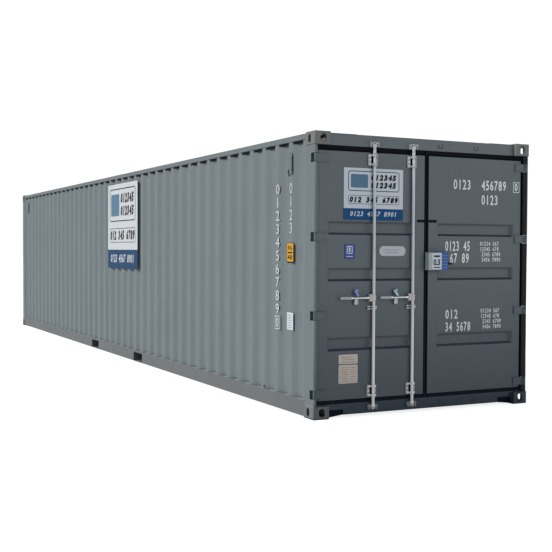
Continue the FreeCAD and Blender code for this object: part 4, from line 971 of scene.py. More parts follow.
# ------------------------------------------------------------------ places
REAR = -6086.0
LENGTH = 12192.0
CORRUGATION = 287.5
LEAF = REAR + 40.0
LEFT_SIDE = Face(Vector((-1208.0, REAR, 0.0)), Vector((0.0, -1.0, 0.0)))
RIGHT_SIDE = Face(Vector((1208.0, REAR, 0.0)), Vector((0.0, 1.0, 0.0)))
DOORS = Face(Vector((0.0, LEAF, 0.0)), Vector((1.0, 0.0, 0.0)))
TOP = Face(Vector((0.0, 0.0, 2580.0)), Vector((1.0, 0.0, 0.0)), Vector((0.0, 1.0, 0.0)))
OUTWARD = Vector((0.0, -1.0, 0.0))


# ------------------------------------------------------------------ walls, roof and base
@dataclass
class CorrugatedWall:
    """A side wall of folded sheet, with rounded folds and slight dents."""

    finishes: Finishes
    pitch: float = CORRUGATION
    slope: float = 68.0
    inner: float = 75.5
    depth: float = 36.0
    thickness: float = 2.0
    fold: float = 13.0
    fold_steps: int = 4
    lead: float = 60.0
    rows: int = 18
    grip: float = 260.0

    def profile(self, length: float) -> list[tuple[float, float]]:
        """Work out the wall's folded section.

        Args:
            length: the wall's length.

        Returns:
            Distance along the wall and depth of each point.
        """
        outer = self.pitch - 2 * self.slope - self.inner
        count = int((length - self.lead + outer) // self.pitch)
        lead = (length - count * self.pitch + outer) / 2
        corners = [(0.0, 0.0)]
        for index in range(count):
            start = lead + index * self.pitch
            corners += [(start, 0.0), (start + self.slope, self.depth),
                        (start + self.slope + self.inner, self.depth),
                        (start + 2 * self.slope + self.inner, 0.0)]
        corners.append((length, 0.0))
        points = [corners[0]]
        for before, here, after in zip(corners, corners[1:], corners[2:]):
            origin = Vector(here)
            back = (Vector(before) - origin).normalized() * self.fold
            ahead = (Vector(after) - origin).normalized() * self.fold
            for step in range(self.fold_steps + 1):
                share = step / self.fold_steps
                point = origin + back * (1 - share) ** 2 + ahead * share ** 2
                points.append((point.x, point.y))
        return points + [corners[-1]]

    def build(self, side: Side) -> bpy.types.Object:
        """Make one wall.

        Args:
            side: the side that it stands on.

        Returns:
            The piece.
        """
        node = f"side_wall_{side.name.lower()}"
        low, high = span_of(node)
        plane = max(abs(low.x), abs(high.x))
        levels = [low.z + (high.z - low.z) * step / self.rows for step in range(self.rows + 1)]
        profile = self.profile(high.y - low.y)
        shape = Shape()
        skins = []
        for lift in (0.0, self.thickness):
            skin = []
            for level in levels:
                grip = min((level - low.z) / self.grip, (high.z - level) / self.grip, 1.0)
                row = []
                for along, fall in profile:
                    dent = 2.2 * grip * dimple(along + 900 * side.value, level, 3.7 * side.value, 0.0021)
                    out = plane - fall - lift - 1.6 * grip + dent * 0.7
                    row.append(shape.mesh.verts.new((side.value * out, low.y + along, level)))
                skin.append(row)
            skins.append(skin)
        shape.shell(*skins)
        return shape.finish(f"{node}_folded_sheet", "container", self.finishes.wall, (node,), smooth=50)


@dataclass
class RoofSkin:
    """The roof sheet with its shallow cross ribs."""

    finishes: Finishes
    pitch: float = 288.0
    mouth: float = 150.0
    slope: float = 36.0
    depth: float = 19.5
    margin: float = 150.0

    def build(self) -> None:
        """Make the sheet."""
        low, high = span_of("roof_panel")
        count = int((high.y - low.y - self.mouth) // self.pitch)
        middle = (low.y + high.y) / 2
        first = middle - (count - 1) * self.pitch / 2
        ribs = [Pressing(low.x + self.margin, high.x - self.margin, place - self.mouth / 2,
                         place + self.mouth / 2, self.slope, self.slope, self.depth - 2.0)
                for place in (first + index * self.pitch for index in range(count))]
        shape = Shape()
        PressedSheet(TOP, (low.x, high.x, low.y, high.y), ribs, wave=1.6, coarse=240, seed=5.0).build(shape)
        shape.finish("roof_ribbed_sheet", "container", self.finishes.roof, ("roof_panel",), smooth=50,
                     flat=True)


@dataclass
class FloorBoards:
    """The plywood floor: sheets side by side, with a screw row at each joint."""

    finishes: Finishes
    rows: int = 5
    columns: int = 2
    gap: float = 2.0

    def build(self) -> None:
        """Lay the boards and drive the screws."""
        low, high = span_of("floor")
        boards, screws = Shape(), Shape()
        long, wide = (high.y - low.y) / self.rows, (high.x - low.x) / self.columns
        for row in range(self.rows):
            for column in range(self.columns):
                start = Vector((low.x + column * wide, low.y + row * long, low.z))
                boards.block((start.x, start.y, low.z),
                             (start.x + wide - self.gap, start.y + long - self.gap, high.z))
                for across in range(8):
                    for end in (22.0, long - 26.0):
                        foot = (start.x + wide * (across + 0.5) / 8, start.y + end, high.z - 2.2)
                        screws.turned(foot, (0, 0, 1), [(6.5, 0), (6.5, 1.6), (3.0, 1.7)], 8)
        boards.finish("floor_plywood_sheets", "container", self.finishes.ply, ("floor",), bevel=1.0,
                      segments=1)
        screws.finish("floor_screws", "container", self.finishes.dark_steel)


@dataclass
class Ventilators:
    """Moulded ventilator covers near the top corners of the side walls."""

    finishes: Finishes
    proud: float = 8.5
    slot: float = 7.0
    wide: float = 90.0

    def build(self) -> None:
        """Make the four covers."""
        low, high = span_of("ventilators")
        covers, slots = Shape(), Shape()
        rear, front = low.y - REAR, high.y - REAR
        for face, turn in ((LEFT_SIDE, -1), (RIGHT_SIDE, 1)):
            for left, right in ((rear, rear + self.wide), (front - self.wide, front)):
                span = tuple(sorted((left * turn, right * turn))) + (low.z, high.z)
                covers.plate(face, span, 0.5, self.proud - 2.5, 7)
                covers.plate(face, (span[0] + 6, span[1] - 6, span[2] + 8, span[3] - 8), self.proud - 4,
                             self.proud, 12)
                door_edge = span[1] if face is LEFT_SIDE else span[0]
                inward = -1 if face is LEFT_SIDE else 1
                edges = tuple(sorted((door_edge, door_edge + inward * self.slot)))
                slots.plate(face, edges + (span[2] + 24, span[3] - 24), self.proud - 3.2, self.proud + 0.6, 3)
                for step in range(3):
                    level = span[2] + 48 + 50 * step
                    covers.plate(face, (span[0] + 22, span[1] - 22, level, level + 16), self.proud - 1,
                                 self.proud + 1.2, 5)
                hook = span[0] if face is LEFT_SIDE else span[1] - 30
                foot = span[2]
                slots.prism(face, [(hook + 4, foot + 20), (hook + 26, foot + 2), (hook + 30, foot + 44),
                                   (hook + 22, foot + 52)], self.proud - 1, self.proud + 1.0)
                slots.plate(face, (hook + 10, hook + 28, span[2] - 14, span[2] - 4), 0.5, 5.5, 3)
                for across in (span[0] + 12, span[1] - 12):
                    for level in (span[2] + 12, span[3] - 12):
                        covers.rivet(face.at(across, level, self.proud - 3), face.right.cross(face.up), 4)
        covers.finish("ventilator_covers", "container", self.finishes.frame, ("ventilators",), bevel=1.0)
        # The slot mesh is near black: painted shade in the slit and under the cover's foot.
        slots.finish("ventilator_slots", "container", self.finishes.dark_gap)


@dataclass
class SteelFrame:
    """Posts, rails, castings and the base: softened edges, weld beads and scars."""

    finishes: Finishes
    edges: dict[str, float] = field(default_factory=lambda: {
        "bottom_castings": 2.5, "top_castings": 2.5, "rear_post_left": 1.6, "rear_post_right": 1.6,
        "post_channels": 2.0, "front_posts": 1.6, "bottom_rail_left": 1.4, "bottom_rail_right": 1.4,
        "top_rails": 2.5, "rear_sill": 1.8, "rear_header": 3.0, "front_sill": 2.0, "front_top_rail": 2.0,
        "left_door_frame": 0.7, "right_door_frame": 0.7, "left_hinge_blades": 1.4, "right_hinge_blades": 1.4,
        "hinge_lugs": 1.0, "hinge_pins": 0.8, "tieback_rings": 0.8, "roof_corner_plates": 0.8,
        "cross_members": 1.0, "front_wall": 0.6, "left_seam_strip": 0.8, "right_seam_strip": 0.8})
    merge: float = 0.00002
    skin: float = 1214.5
    opening: float = 1057.0
    casting_length: float = 172.0
    casting_levels: tuple[float, float] = (118.0, 2473.0)
    ledge: float = 163.0
    wall_top: float = 2529.0
    end_plane: float = 42.0
    scar_places: tuple[tuple[float, float], ...] = ((170.0, 2520.0), (593.0, 2520.0), (210.0, 70.0),
                                                    (615.0, 70.0))

    def build(self, nodes: dict[str, bpy.types.Object]) -> None:
        """Soften the frame's own nodes and add the welds.

        Args:
            nodes: the frame's node objects.
        """
        for name, width in self.edges.items():
            weld = nodes[name].modifiers.new("joined_corners", "WELD")
            weld.merge_threshold = self.merge
            soften(nodes[name], width, 2)
            log.info("softened %s by %.1f mm", name, width)
        self.welds()
        self.scars()
        self.gussets()
        self.bright_seams()

    def gussets(self) -> None:
        """Plates behind the notches at the ends of the rear sill, near black as painted shade."""
        shape = Shape()
        face = Face(Vector((0.0, REAR + 58.0, 0.0)), Vector((1.0, 0.0, 0.0)))
        for side in Side:
            outer, inner = side.value * (self.opening + 1), side.value * 880
            outline = [(outer, 4), (outer, 74), (inner, 74), (inner, 25)]
            shape.prism(face, outline if side is Side.LEFT else outline[::-1], 0.0, 8.0)
        shape.finish("sill_end_gussets", "container", self.finishes.dark_gap, bevel=0.6)

    def bright_seams(self) -> None:
        """Light grey beads over the rear bottom castings and along the bottom rails: painted highlights on
        the ledges and edges.
        """
        shape = Shape()
        for side in Side:
            over = side.value * (self.skin + 0.1)
            shape.bead((over, REAR + 6, 120.0), (over, REAR + 170, 120.0), 3.6, 9, 4)
            foot, level = side.value * 1211.4, self.ledge + 0.5
            for step in range(math.ceil((LENGTH - 402) / CORRUGATION)):
                run = REAR + 190.0 + step * CORRUGATION
                length = 120 + 70 * noise.noise(((step + 1) * 0.7, side.value, 0.1))
                shape.bead((foot, run, level), (foot, run + length, level), 3.4, 24, step + 1)
        shape.finish("bright_seams", "container", self.finishes.pale_grey, smooth=60)

    def welds(self) -> None:
        """Weld beads where posts meet castings, header and sill."""
        beads = Shape()
        seed = 0
        inner, outer = REAR + self.casting_length, REAR + LENGTH - self.casting_length
        for side in Side:
            skin, opening = side.value * self.skin, side.value * self.opening
            start, end = side.value * 1214, side.value * 1198
            for level in self.casting_levels:
                seed += 1
                beads.bead((start, REAR + 4, level), (end, REAR + 4, level), 2.6, 7, seed)
                beads.bead((skin, REAR + 12, level), (skin, inner, level), 2.6, 9, seed)
                beads.bead((skin, outer, level), (skin, REAR + LENGTH - 12, level), 2.6, 9, seed + 5)
            for low, high in ((2476, 2576), (76, 126)):
                beads.bead((opening, REAR + 41, low), (opening, REAR + 41, high), 2.6, 9, seed)
            for across, level, radius in ((1208.5, self.ledge, 1.8), (1209.0, self.wall_top, 1.6)):
                beads.bead((side.value * across, REAR + 180, level),
                           (side.value * across, REAR + LENGTH - 180, level), radius, 22, seed)
        beads.finish("weld_beads", "container", self.finishes.frame, smooth=60)

    def scars(self) -> None:
        """Rough patches on header and sill where keepers of the right leaf were cut off."""
        scars = Shape()
        face = Face(Vector((0.0, REAR + self.end_plane, 0.0)), Vector((1.0, 0.0, 0.0)))
        for middle, level in self.scar_places:
            for offset, lean in ((-26.0, 5.0), (22.0, -4.0)):
                scars.bead(face.at(middle + offset, level - 18, 0.5),
                           face.at(middle + offset + lean, level + 18, 0.5), 3.4, 6, int(middle))
            scars.bead(face.at(middle - 24, level - 16, 0.4), face.at(middle + 20, level - 20, 0.4),
                       2.6, 6, 3)
        scars.finish("keeper_scars", "container", self.finishes.rusted, smooth=60)


# ------------------------------------------------------------------ doors
@dataclass
class DoorLeaf:
    """One leaf: its pressed panel, its rubber seal, its welds and its hinge rivets."""

    finishes: Finishes
    side: Side
    groove_levels: tuple[float, ...] = (670.0, 1305.0, 1728.0)
    groove_height: float = 126.0
    groove_slope: float = 22.0
    groove_end: float = 30.0
    groove_depth: float = 34.0
    groove_margin: float = 5.0
    hinge_levels: tuple[int, ...] = (225, 935, 1645, 2355)

    @property
    def name(self) -> str:
        """The body's name, which the nodes' names begin with."""
        return f"{self.side.name.lower()}_door"

    def build(self) -> None:
        """Make the leaf's pieces."""
        self.panel()
        self.seal()
        self.hinge_rivets()

    def panel(self) -> None:
        """The sheet with three grooves, and the weld round it."""
        low, high = span_of(f"{self.name}_panel")
        half = self.groove_height / 2
        left, right = low.x + self.groove_margin, high.x - self.groove_margin
        grooves = [Pressing(left, right, level - half, level + half, self.groove_slope, self.groove_end,
                            self.groove_depth - 1.5) for level in self.groove_levels]
        shape = Shape()
        PressedSheet(DOORS, (low.x, high.x, low.z, high.z), grooves, wave=0.9, coarse=90,
                     seed=float(len(self.name)) * 1.7).build(shape)
        shape.finish(f"{self.name}_pressed_panel", self.name, self.finishes.door, (f"{self.name}_panel",),
                     smooth=50, flat=True)
        welds = Shape()
        for across in (low.x, high.x):
            welds.bead(DOORS.at(across, low.z, -2.2), DOORS.at(across, high.z, -2.2), 2.9, 60, 2)
        for level in (low.z, high.z):
            welds.bead(DOORS.at(low.x, level, -2.2), DOORS.at(high.x, level, -2.2), 2.9, 60, 4)
        welds.finish(f"{self.name}_panel_welds", self.name, self.finishes.door, smooth=60)

    def seal(self) -> None:
        """The rubber seal: a double lip all round the leaf, held by a thin strip."""
        low, high = span_of(f"{self.name}_gasket")
        inner_low, inner_high = span_of(f"{self.name}_frame")
        section = ((0.0, 0.0), (0.0, 8.0), (0.22, 9.5), (0.32, 4.5), (0.55, 4.0), (0.74, 1.5), (1.0, 0.6),
                   (1.0, 3.0), (0.8, 10.0), (0.95, 26.0), (1.0, 29.5), (0.6, 29.5), (0.3, 24.0), (0.0, 24.0))
        rings = []
        for corner_x, corner_z in ((0, 0), (1, 0), (1, 1), (0, 1)):
            ring = []
            for share, back in section:
                inside = Vector((inner_high.x if corner_x else inner_low.x,
                                 inner_high.z if corner_z else inner_low.z))
                outside = Vector((high.x if corner_x else low.x, high.z if corner_z else low.z))
                point = inside.lerp(outside, share)
                ring.append((point.x, low.y + back, point.y))
            rings.append(ring)
        shape = Shape()
        shape.loft(rings + rings[:1], caps=False)
        shape.finish(f"{self.name}_rubber_seal", self.name, self.finishes.rubber, (f"{self.name}_gasket",),
                     smooth=25)
        if self.side is Side.LEFT:
            strip = Shape()
            strip.block((low.x - 0.5, LEAF + 1.0, low.z + 40), (inner_low.x + 1.0, LEAF + 5.0, high.z - 46))
            strip.finish(f"{self.name}_seal_cover", self.name, self.finishes.door, bevel=0.8)

    def hinge_rivets(self) -> None:
        """Rivets through the hinge blades."""
        low, high = span_of(f"{self.name}_frame")
        edge = low.x if self.side is Side.LEFT else high.x
        shape = Shape()
        for level in self.hinge_levels:
            for across in (20, 54):
                for offset in (-24, 24):
                    shape.rivet((edge - self.side.value * across, REAR + 30.2, level + offset), OUTWARD, 5.5)
        shape.finish(f"{self.name}_hinge_rivets", self.name, self.finishes.door)


# ------------------------------------------------------------------ locking gear
@dataclass
class LockRod:
    """A lock rod with its cams, hub, handle, brackets, keepers and catch."""

    finishes: Finishes
    name: str
    across: float
    flap: bpy.types.Material
    radius: float = 13.5
    depth: float = 17.0
    handle_level: float = 1090.0
    pivot: float = 38.0
    reach: float = 324.0
    bottom: float = 66.0
    top: float = 2515.0
    brackets: tuple[tuple[float, float], ...] = ((176.0, 286.0), (2301.0, 2411.0))

    def spot(self, across: float, level: float, deep: float = 0.0) -> Vector:
        """A point at a distance beside the rod, a height, and a depth from the container's end."""
        return Vector((self.across + across, REAR + deep, level))

    def build(self) -> None:
        """Make every piece of the rod."""
        self.bar()
        self.handle()
        self.bearings()
        self.keepers()
        self.catch()

    def bar(self) -> None:
        """The pipe, its collars, its two cam heads and the hub of its handle."""
        shape = Shape()
        shape.rod(self.spot(0, self.bottom + 16, self.depth), self.spot(0, self.top - 16, self.depth),
                  self.radius, 32)
        for low, high in self.brackets:
            for level in (low - 11, high + 3):
                shape.turned(self.spot(0, level, self.depth), (0, 0, 1),
                             [(self.radius, 0), (18.6, 1.5), (18.6, 6.5), (self.radius, 8)], 28)
        holes = Shape()
        for level, turn in ((self.bottom, 1), (self.top, -1)):
            shape.turned(self.spot(0, level + turn * 14, self.depth), (0, 0, turn),
                         [(14, 0), (18.5, 4), (18.5, 22), (self.radius, 30)], 28)
            eye = level + turn * 9
            turns = [math.tau * step / 14 for step in range(14)]
            ring = [self.spot(11.5 * math.cos(angle) - 1, eye + 12.5 * math.sin(angle), self.depth - 6)
                    for angle in turns]
            shape.bent_bar(ring, 4.2, 8, closed=True)
            # Near black discs in the cam eyes: painted shade in the holes.
            holes.turned(self.spot(-1, eye, self.depth + 2), OUTWARD, [(9.5, 0), (9.5, 9)], 20)
        holes.finish(f"{self.name}_cam_holes", f"{self.name}_rod", self.finishes.dark_gap)
        hub = Face(self.spot(0, self.handle_level, self.depth - 3), Vector((1.0, 0.0, 0.0)))
        for level in (-33.0, 20.0):
            shape.plate(hub, (-52, 16, level, level + 13), -8, 3.4, 4)
        shape.finish(f"{self.name}_lock_pipe", f"{self.name}_rod", self.finishes.zinc,
                     (f"{self.name}_lock_rod",), bevel=0.8, smooth=40)
        clevis = Shape()
        clevis.plate(hub, (-54, 19, -20, 20.5), -4, 3, 5)
        clevis.plate(hub, (-18.5, 12, -20, 20), 2, 14, 3)
        clevis.plate(hub, (-54, 12, -31, 30), 13.4, 16.4, 9)
        clevis.bolt(hub.at(-self.pivot, 0, 16.0), OUTWARD, 15, 3, washer=False)
        clevis.finish(f"{self.name}_handle_hub", f"{self.name}_rod", self.finishes.hub_zinc, bevel=1.0)

    def handle(self) -> None:
        """The lift-up handle: a flat bar with a turned-out grip."""
        shape = Shape()
        face = Face(self.spot(-self.pivot, self.handle_level, 10.0), Vector((1.0, 0.0, 0.0)))
        outline = [(12, -11), (12, 11), (-30, 10), (-60, 6), (-186, 5), (-212, 13),
                   (-self.reach + 8, 12), (-self.reach, 4), (-self.reach, -6), (-self.reach + 10, -12),
                   (-212, -12), (-186, -7), (-60, -7), (-30, -10)]
        shape.prism(face, outline, 0.5, 8.5)
        shape.finish(f"{self.name}_handle_bar", f"{self.name}_handle_bar", self.finishes.bright_zinc,
                     (f"{self.name}_handle",), bevel=1.6)
        grip = Shape()
        grip.plate(face, (-self.reach + 3, -208, -11.5, 12.0), 8.2, 9.6, 4)
        grip.finish(f"{self.name}_handle_grip", f"{self.name}_handle_bar", self.finishes.pale_grey)

    def bearings(self) -> None:
        """Two bearing brackets and the guide under the handle, with their bolts."""
        pads, straps, bolts, dark = Shape(), Shape(), Shape(), Shape()
        for low, high in self.brackets:
            middle = (low + high) / 2
            pads.plate(DOORS, (self.across - 62, self.across - 27, low - 1, high + 1), 1.2, 9.0, 14)
            pads.plate(DOORS, (self.across + 21, self.across + 38, low + 4, high - 4), 1.2, 12.0, 7)
            # Near black plates between the pads and in the bolt holes: painted shade in the recesses.
            dark.plate(DOORS, (self.across - 27, self.across + 21, low + 18, high - 18), 1.2, 2.6, 3)
            for step in (-34, 34):
                dark.plate(DOORS, (self.across + 25, self.across + 34, middle + step - 6, middle + step + 6),
                           11.6, 12.6, 4)
            for level in (low + 13, high - 13):
                path = [self.spot(-48, level, 30), self.spot(-27, level, 28), self.spot(-21.5, level, 17)]
                path += [self.spot(-21.5 * math.cos(turn), level, self.depth - 20.5 * math.sin(turn))
                         for turn in map(math.radians, range(20, 180, 20))]
                path += [self.spot(21.5, level, 19), self.spot(27, level, 29), self.spot(40, level, 31)]
                for lift in (-5.5, 0.0, 5.5):
                    straps.bent_bar([point + Vector((0, 0, lift)) for point in path], 3.1, 8)
            for step in (-36, 0, 36):
                bolts.bolt(self.spot(-46, middle + step, 31.5), OUTWARD, 18, 9)
            bolts.bolt(self.spot(30, middle, 28.5), OUTWARD, 12, 5, washer=False)
        low = 977.0
        for level in (low + 3, low + 24):
            pads.plate(DOORS, (self.across - 66, self.across - 22, level, level + 15), 1.2, 15.0, 5)
            straps.bent_bar([self.spot(-24, level + 8, 24), self.spot(-22, level + 8, 12),
                             self.spot(-10, level + 8, -1.5), self.spot(8, level + 8, -2.5),
                             self.spot(21.5, level + 8, 8), self.spot(22.5, level + 8, 28)], 4.2, 8)
            bolts.bolt(self.spot(-52, level + 7.5, 24.8), OUTWARD, 12, 5, washer=False)
        pads.plate(DOORS, (self.across + 22, self.across + 42, low + 2, low + 40), 1.2, 8.0, 5)
        bolts.bolt(self.spot(32, low + 21, 32), OUTWARD, 13, 6, washer=False)
        pads.finish(f"{self.name}_bearing_pads", "left_door", self.finishes.worn_zinc,
                    ("rod_brackets",) if self.name == "outer" else (), bevel=1.2)
        straps.finish(f"{self.name}_bearing_straps", "left_door", self.finishes.zinc, smooth=50)
        bolts.finish(f"{self.name}_bearing_bolts", "left_door", self.finishes.bright_zinc)
        dark.finish(f"{self.name}_bearing_hollows", "left_door", self.finishes.dark_gap)

    def keepers(self) -> None:
        """Cam keepers on the header and the sill."""
        shape, bolts = Shape(), Shape()
        for level, turn in ((58.0, 1), (2523.0, -1)):
            end = level + turn * 50
            low, high = min(level, end), max(level, end)
            face = Face(self.spot(0, 0, 42), Vector((1.0, 0.0, 0.0)))
            shape.plate(face, (-44, 44, low, high), 0.3, 4.6, 6)
            for lift in (-15, 13):
                bolts.turned(self.spot(34, (low + high) / 2 + lift, 36), OUTWARD,
                             [(5.5, 0), (5.5, 20), (3, 24)], 10)
            for side in (-1, 1):
                hook = [self.spot(side * 40, low + 3, 37), self.spot(side * 41, low + 3, 12),
                        self.spot(side * 36, (low + high) / 2 - 4, 6), self.spot(side * 38, high - 5, 8),
                        self.spot(side * 40, high - 3, 36)]
                shape.bent_bar(hook, 4.4, 8)
                bolts.rivet(self.spot(side * 30, (low + high) / 2, 37.6), OUTWARD, 5)
        shape.finish(f"{self.name}_keepers", "container", self.finishes.worn_zinc,
                     ("cam_keepers",) if self.name == "outer" else (), bevel=0.9)
        bolts.finish(f"{self.name}_keeper_rivets", "container", self.finishes.bright_zinc)

    def catch(self) -> None:
        """The handle's catch: a plate, a cradle ring under the bar and a slanted flap over it."""
        middle, level = -188.0, self.handle_level
        face = Face(self.spot(middle, level, 40), Vector((1.0, 0.0, 0.0)))
        plate, ring, flap = Shape(), Shape(), Shape()
        plate.plate(face, (-24, 26, -62, 70), 1.0, 5.0, 14)
        for place in ((-10, 58), (12, 58), (-8, -50)):
            plate.bolt(face.at(place[0], place[1], 4.6), OUTWARD, 13, 5, washer=False)
        for middle_z, size in ((-22, 13.0), (-45, 14.5)):
            turns = [math.tau * step / 12 for step in range(12)]
            loop = [(size * 1.15 * math.cos(turn), middle_z + size * 0.8 * math.sin(turn)) for turn in turns]
            ring.bent_bar([face.at(x, z, 25) for x, z in loop], 4.6, 8, closed=True)
        ring.plate(face, (-8, 8, -60, -16), 4, 22, 3)
        slanted = [(-26, 66), (-10, 74), (12, 50), (30, 20), (22, 13), (4, 16), (-8, 36)]
        flap.prism(face, slanted, 24.5, 30.5)
        flap.prism(face, [(-16, 44), (0, 44), (-6, 72), (-18, 70)], 4.5, 25)
        turns = [math.tau * step / 10 for step in range(10)]
        ring.bent_bar([face.at(10 + 9 * math.cos(turn), 66 + 9 * math.sin(turn), 20) for turn in turns],
                      3.4, 8, closed=True)
        plate.finish(f"{self.name}_catch_plate", "left_door", self.finishes.door,
                     ("handle_catches",) if self.name == "outer" else (), bevel=0.8)
        ring.finish(f"{self.name}_catch_cradle", "left_door", self.finishes.bright_zinc)
        flap.finish(f"{self.name}_catch_flap", "left_door", self.flap, bevel=1.4)


@dataclass
class LockBox:
    """The padlock cover on the right leaf: a box of welded plate with coloured fields and rivets."""

    finishes: Finishes
    front: float = 18.4
    wall: float = 6.0

    def build(self) -> None:
        """Make the box and its markings."""
        low, high = span_of("lock_box")
        box, grey, white, dots, ink = (Shape() for _ in range(5))
        back = LEAF - 0.5
        wide, flat = high.x, REAR - self.front
        box.block((0, flat, low.z), (wide, flat + 4.5, high.z))
        grey.block((0, flat + 4.5, low.z), (self.wall, back, high.z))
        box.block((wide - self.wall, flat + 4.5, low.z), (wide, back, high.z))
        box.block((self.wall, flat + 4.5, high.z - self.wall), (wide - self.wall, back, high.z))
        face = Face(Vector((0.0, flat, 0.0)), Vector((1.0, 0.0, 0.0)))
        grey.plate(face, (1, 44, low.z + 2, high.z - 2), 0.0, 0.6, 2)
        white.plate(face, (42, 152, low.z + 4, high.z - 4), 0.0, 1.0, 5)
        ink.plate(face, (62, 132, high.z - 44, high.z - 28), 0.8, 1.3, 4)
        ink.marks(face, "03", 56, low.z + 46, 56, 0.8, 1.3, 44, 0.03)
        ink.plate(face, (60, 134, low.z + 20, low.z + 29), 0.8, 1.3, 2)
        ink.plate(face, (84, 122, low.z + 47, low.z + 54), 0.8, 1.3, 2)
        for column in range(3):
            for row in range(5):
                dots.rivet(face.at(168 + 20 * column, low.z + 24 + 29 * row, -1.0), OUTWARD, 3.2)
        box.finish("lock_box_shell", "right_door", self.finishes.blue, ("lock_box",), bevel=1.2)
        grey.finish("lock_box_grey_field", "right_door", self.finishes.pale_grey)
        white.finish("lock_box_label", "right_door", self.finishes.white_vinyl)
        ink.finish("lock_box_label_marks", "right_door", self.finishes.dark_vinyl)
        dots.finish("lock_box_rivets", "right_door", self.finishes.bright_zinc)


# ------------------------------------------------------------------ signs, labels and stencils
@dataclass
class Signs:
    """Boards and labels with plain fields and digits, and the stencilled digits."""

    finishes: Finishes
    band: float = 0.22
    painted: tuple[float, float] = (0.6, 1.4)
    painted_side: tuple[float, float] = (0.6, 1.6)
    slant: float = 0.2
    bold: float = 0.065

    def build(self) -> None:
        """Put up everything."""
        self.door_sign()
        self.side_sign()
        self.door_labels()
        self.side_labels()
        self.door_stencils()
        self.side_stencils()

    def board(self, face: Face, span: Span, name: str, body: str,
              white: bpy.types.Material, blue: bpy.types.Material, lift: float) -> None:
        """Put up one board: a white field over a blue band, two outlined boxes and rows of digits.

        Args:
            face: the face that it hangs on.
            span: its left, right, lower and upper edge.
            name: its name.
            body: the body that carries it.
            white: finish of the board.
            blue: finish of the band.
            lift: thickness of each layer.
        """
        left, right, low, high = span
        wide, tall = right - left, high - low
        sheet, band, outline, digits, field_, pale = (Shape() for _ in range(6))

        def part(x0: float, x1: float, z0: float, z1: float) -> Span:
            """Edges from shares of the board."""
            return left + wide * x0, left + wide * x1, low + tall * z0, low + tall * z1

        sheet.plate(face, span, 0.6, 2.0 + lift, 2)
        band.plate(face, part(0, 1, 0, self.band), lift, 2.4 + lift, 2)
        outline.border(face, part(0.07, 0.935, 0.555, 0.945), 0.011 * wide, lift, 2.6 + lift, 0.04 * wide)
        outline.border(face, part(0.07, 0.935, 0.305, 0.475), 0.006 * wide, lift, 2.6 + lift, 0.03 * wide)
        field_.plate(face, part(0.115, 0.40, 0.62, 0.88), lift, 2.8 + lift, 0.02 * wide)
        for level in (0.77, 0.62):
            digits.marks(face, "012345", left + wide * 0.445, low + tall * level, tall * 0.115, lift,
                         2.9 + lift, wide * 0.073, self.bold, self.slant)
        digits.marks(face, "012 345 6789", left + wide * 0.088, low + tall * 0.335, tall * 0.112, lift,
                     2.9 + lift, wide * 0.069, self.bold, self.slant)
        pale.marks(face, "0123 4567 8901", left + wide * 0.10, low + tall * 0.07, tall * 0.095, lift,
                   2.8 + lift, wide * 0.057, 0.03, self.slant)
        for shape, label, material in ((sheet, "board", white), (band, "band", blue),
                                       (outline, "outlines", self.finishes.dark_blue_vinyl),
                                       (field_, "field", self.finishes.grey_blue_vinyl),
                                       (digits, "digits", self.finishes.dark_vinyl),
                                       (pale, "band_digits", white)):
            shape.finish(f"{name}_{label}", body, material)

    def door_sign(self) -> None:
        """The board on the left leaf."""
        self.board(DOORS, (-897, -257, 1805, 2278), "door_sign", "left_door", self.finishes.white_vinyl,
                   self.finishes.blue_vinyl, 1.2)

    def side_sign(self) -> None:
        """The board on the left side wall."""
        self.board(LEFT_SIDE, (-6322, -4972, 1257, 2454), "side_sign", "container", self.finishes.side_white,
                   self.finishes.side_blue, 1.6)

    def door_labels(self) -> None:
        """The blue label, the capsule plate and the data plate."""
        blue, white, capsule, faint, plate, rows = (Shape() for _ in range(6))
        blue.plate(DOORS, (-885, -773, 1448, 1581), 0.4, 2.4, 6)
        white.border(DOORS, (-862, -800, 1494, 1566), 9, 2.0, 3.0, 4)
        white.plate(DOORS, (-842, -822, 1512, 1552), 2.0, 3.0, 3)
        white.plate(DOORS, (-866, -796, 1466, 1473), 2.0, 3.0)
        capsule.plate(DOORS, (-514, -223, 1474, 1567), 0.4, 3.4, 45)
        for level, left, right in ((1526, -470, -280), (1502, -450, -300)):
            faint.plate(DOORS, (left, right, level, level + 9), 3.2, 3.8, 3)
        capsule.border(DOORS, (-506, -231, 1482, 1559), 4, 3.2, 4.4, 38)
        plate.plate(DOORS, (-940, -737, 488, 575), 0.4, 2.6, 12)
        plate.plate(DOORS, (-940, -737, 310, 480), 0.4, 2.6, 12)
        for index in range(3):
            level = 502 + 22 * index
            rows.plate(DOORS, (-915 + 12 * (index % 2), -765 - 14 * index, level, level + 6), 2.4, 2.9)
        for index in range(7):
            level = 326 + 21 * index
            rows.plate(DOORS, (-925, -835 - 9 * (index % 3), level, level + 5), 2.4, 2.9)
            rows.plate(DOORS, (-815, -758 - 11 * (index % 2), level, level + 5), 2.4, 2.9)
        for across in (-930, -747):
            for level in (320, 468, 498, 565):
                plate.rivet(DOORS.at(across, level, 2.2), OUTWARD, 4)
        blue.finish("blue_label", "left_door", self.finishes.violet_vinyl)
        white.finish("blue_label_square", "left_door", self.finishes.white_vinyl)
        capsule.finish("capsule_plate", "left_door", self.finishes.pale_plate)
        faint.finish("capsule_plate_rows", "left_door", self.finishes.faint_ink)
        plate.finish("data_plates", "left_door", self.finishes.plate)
        rows.finish("data_plate_rows", "left_door", self.finishes.plate_ink)

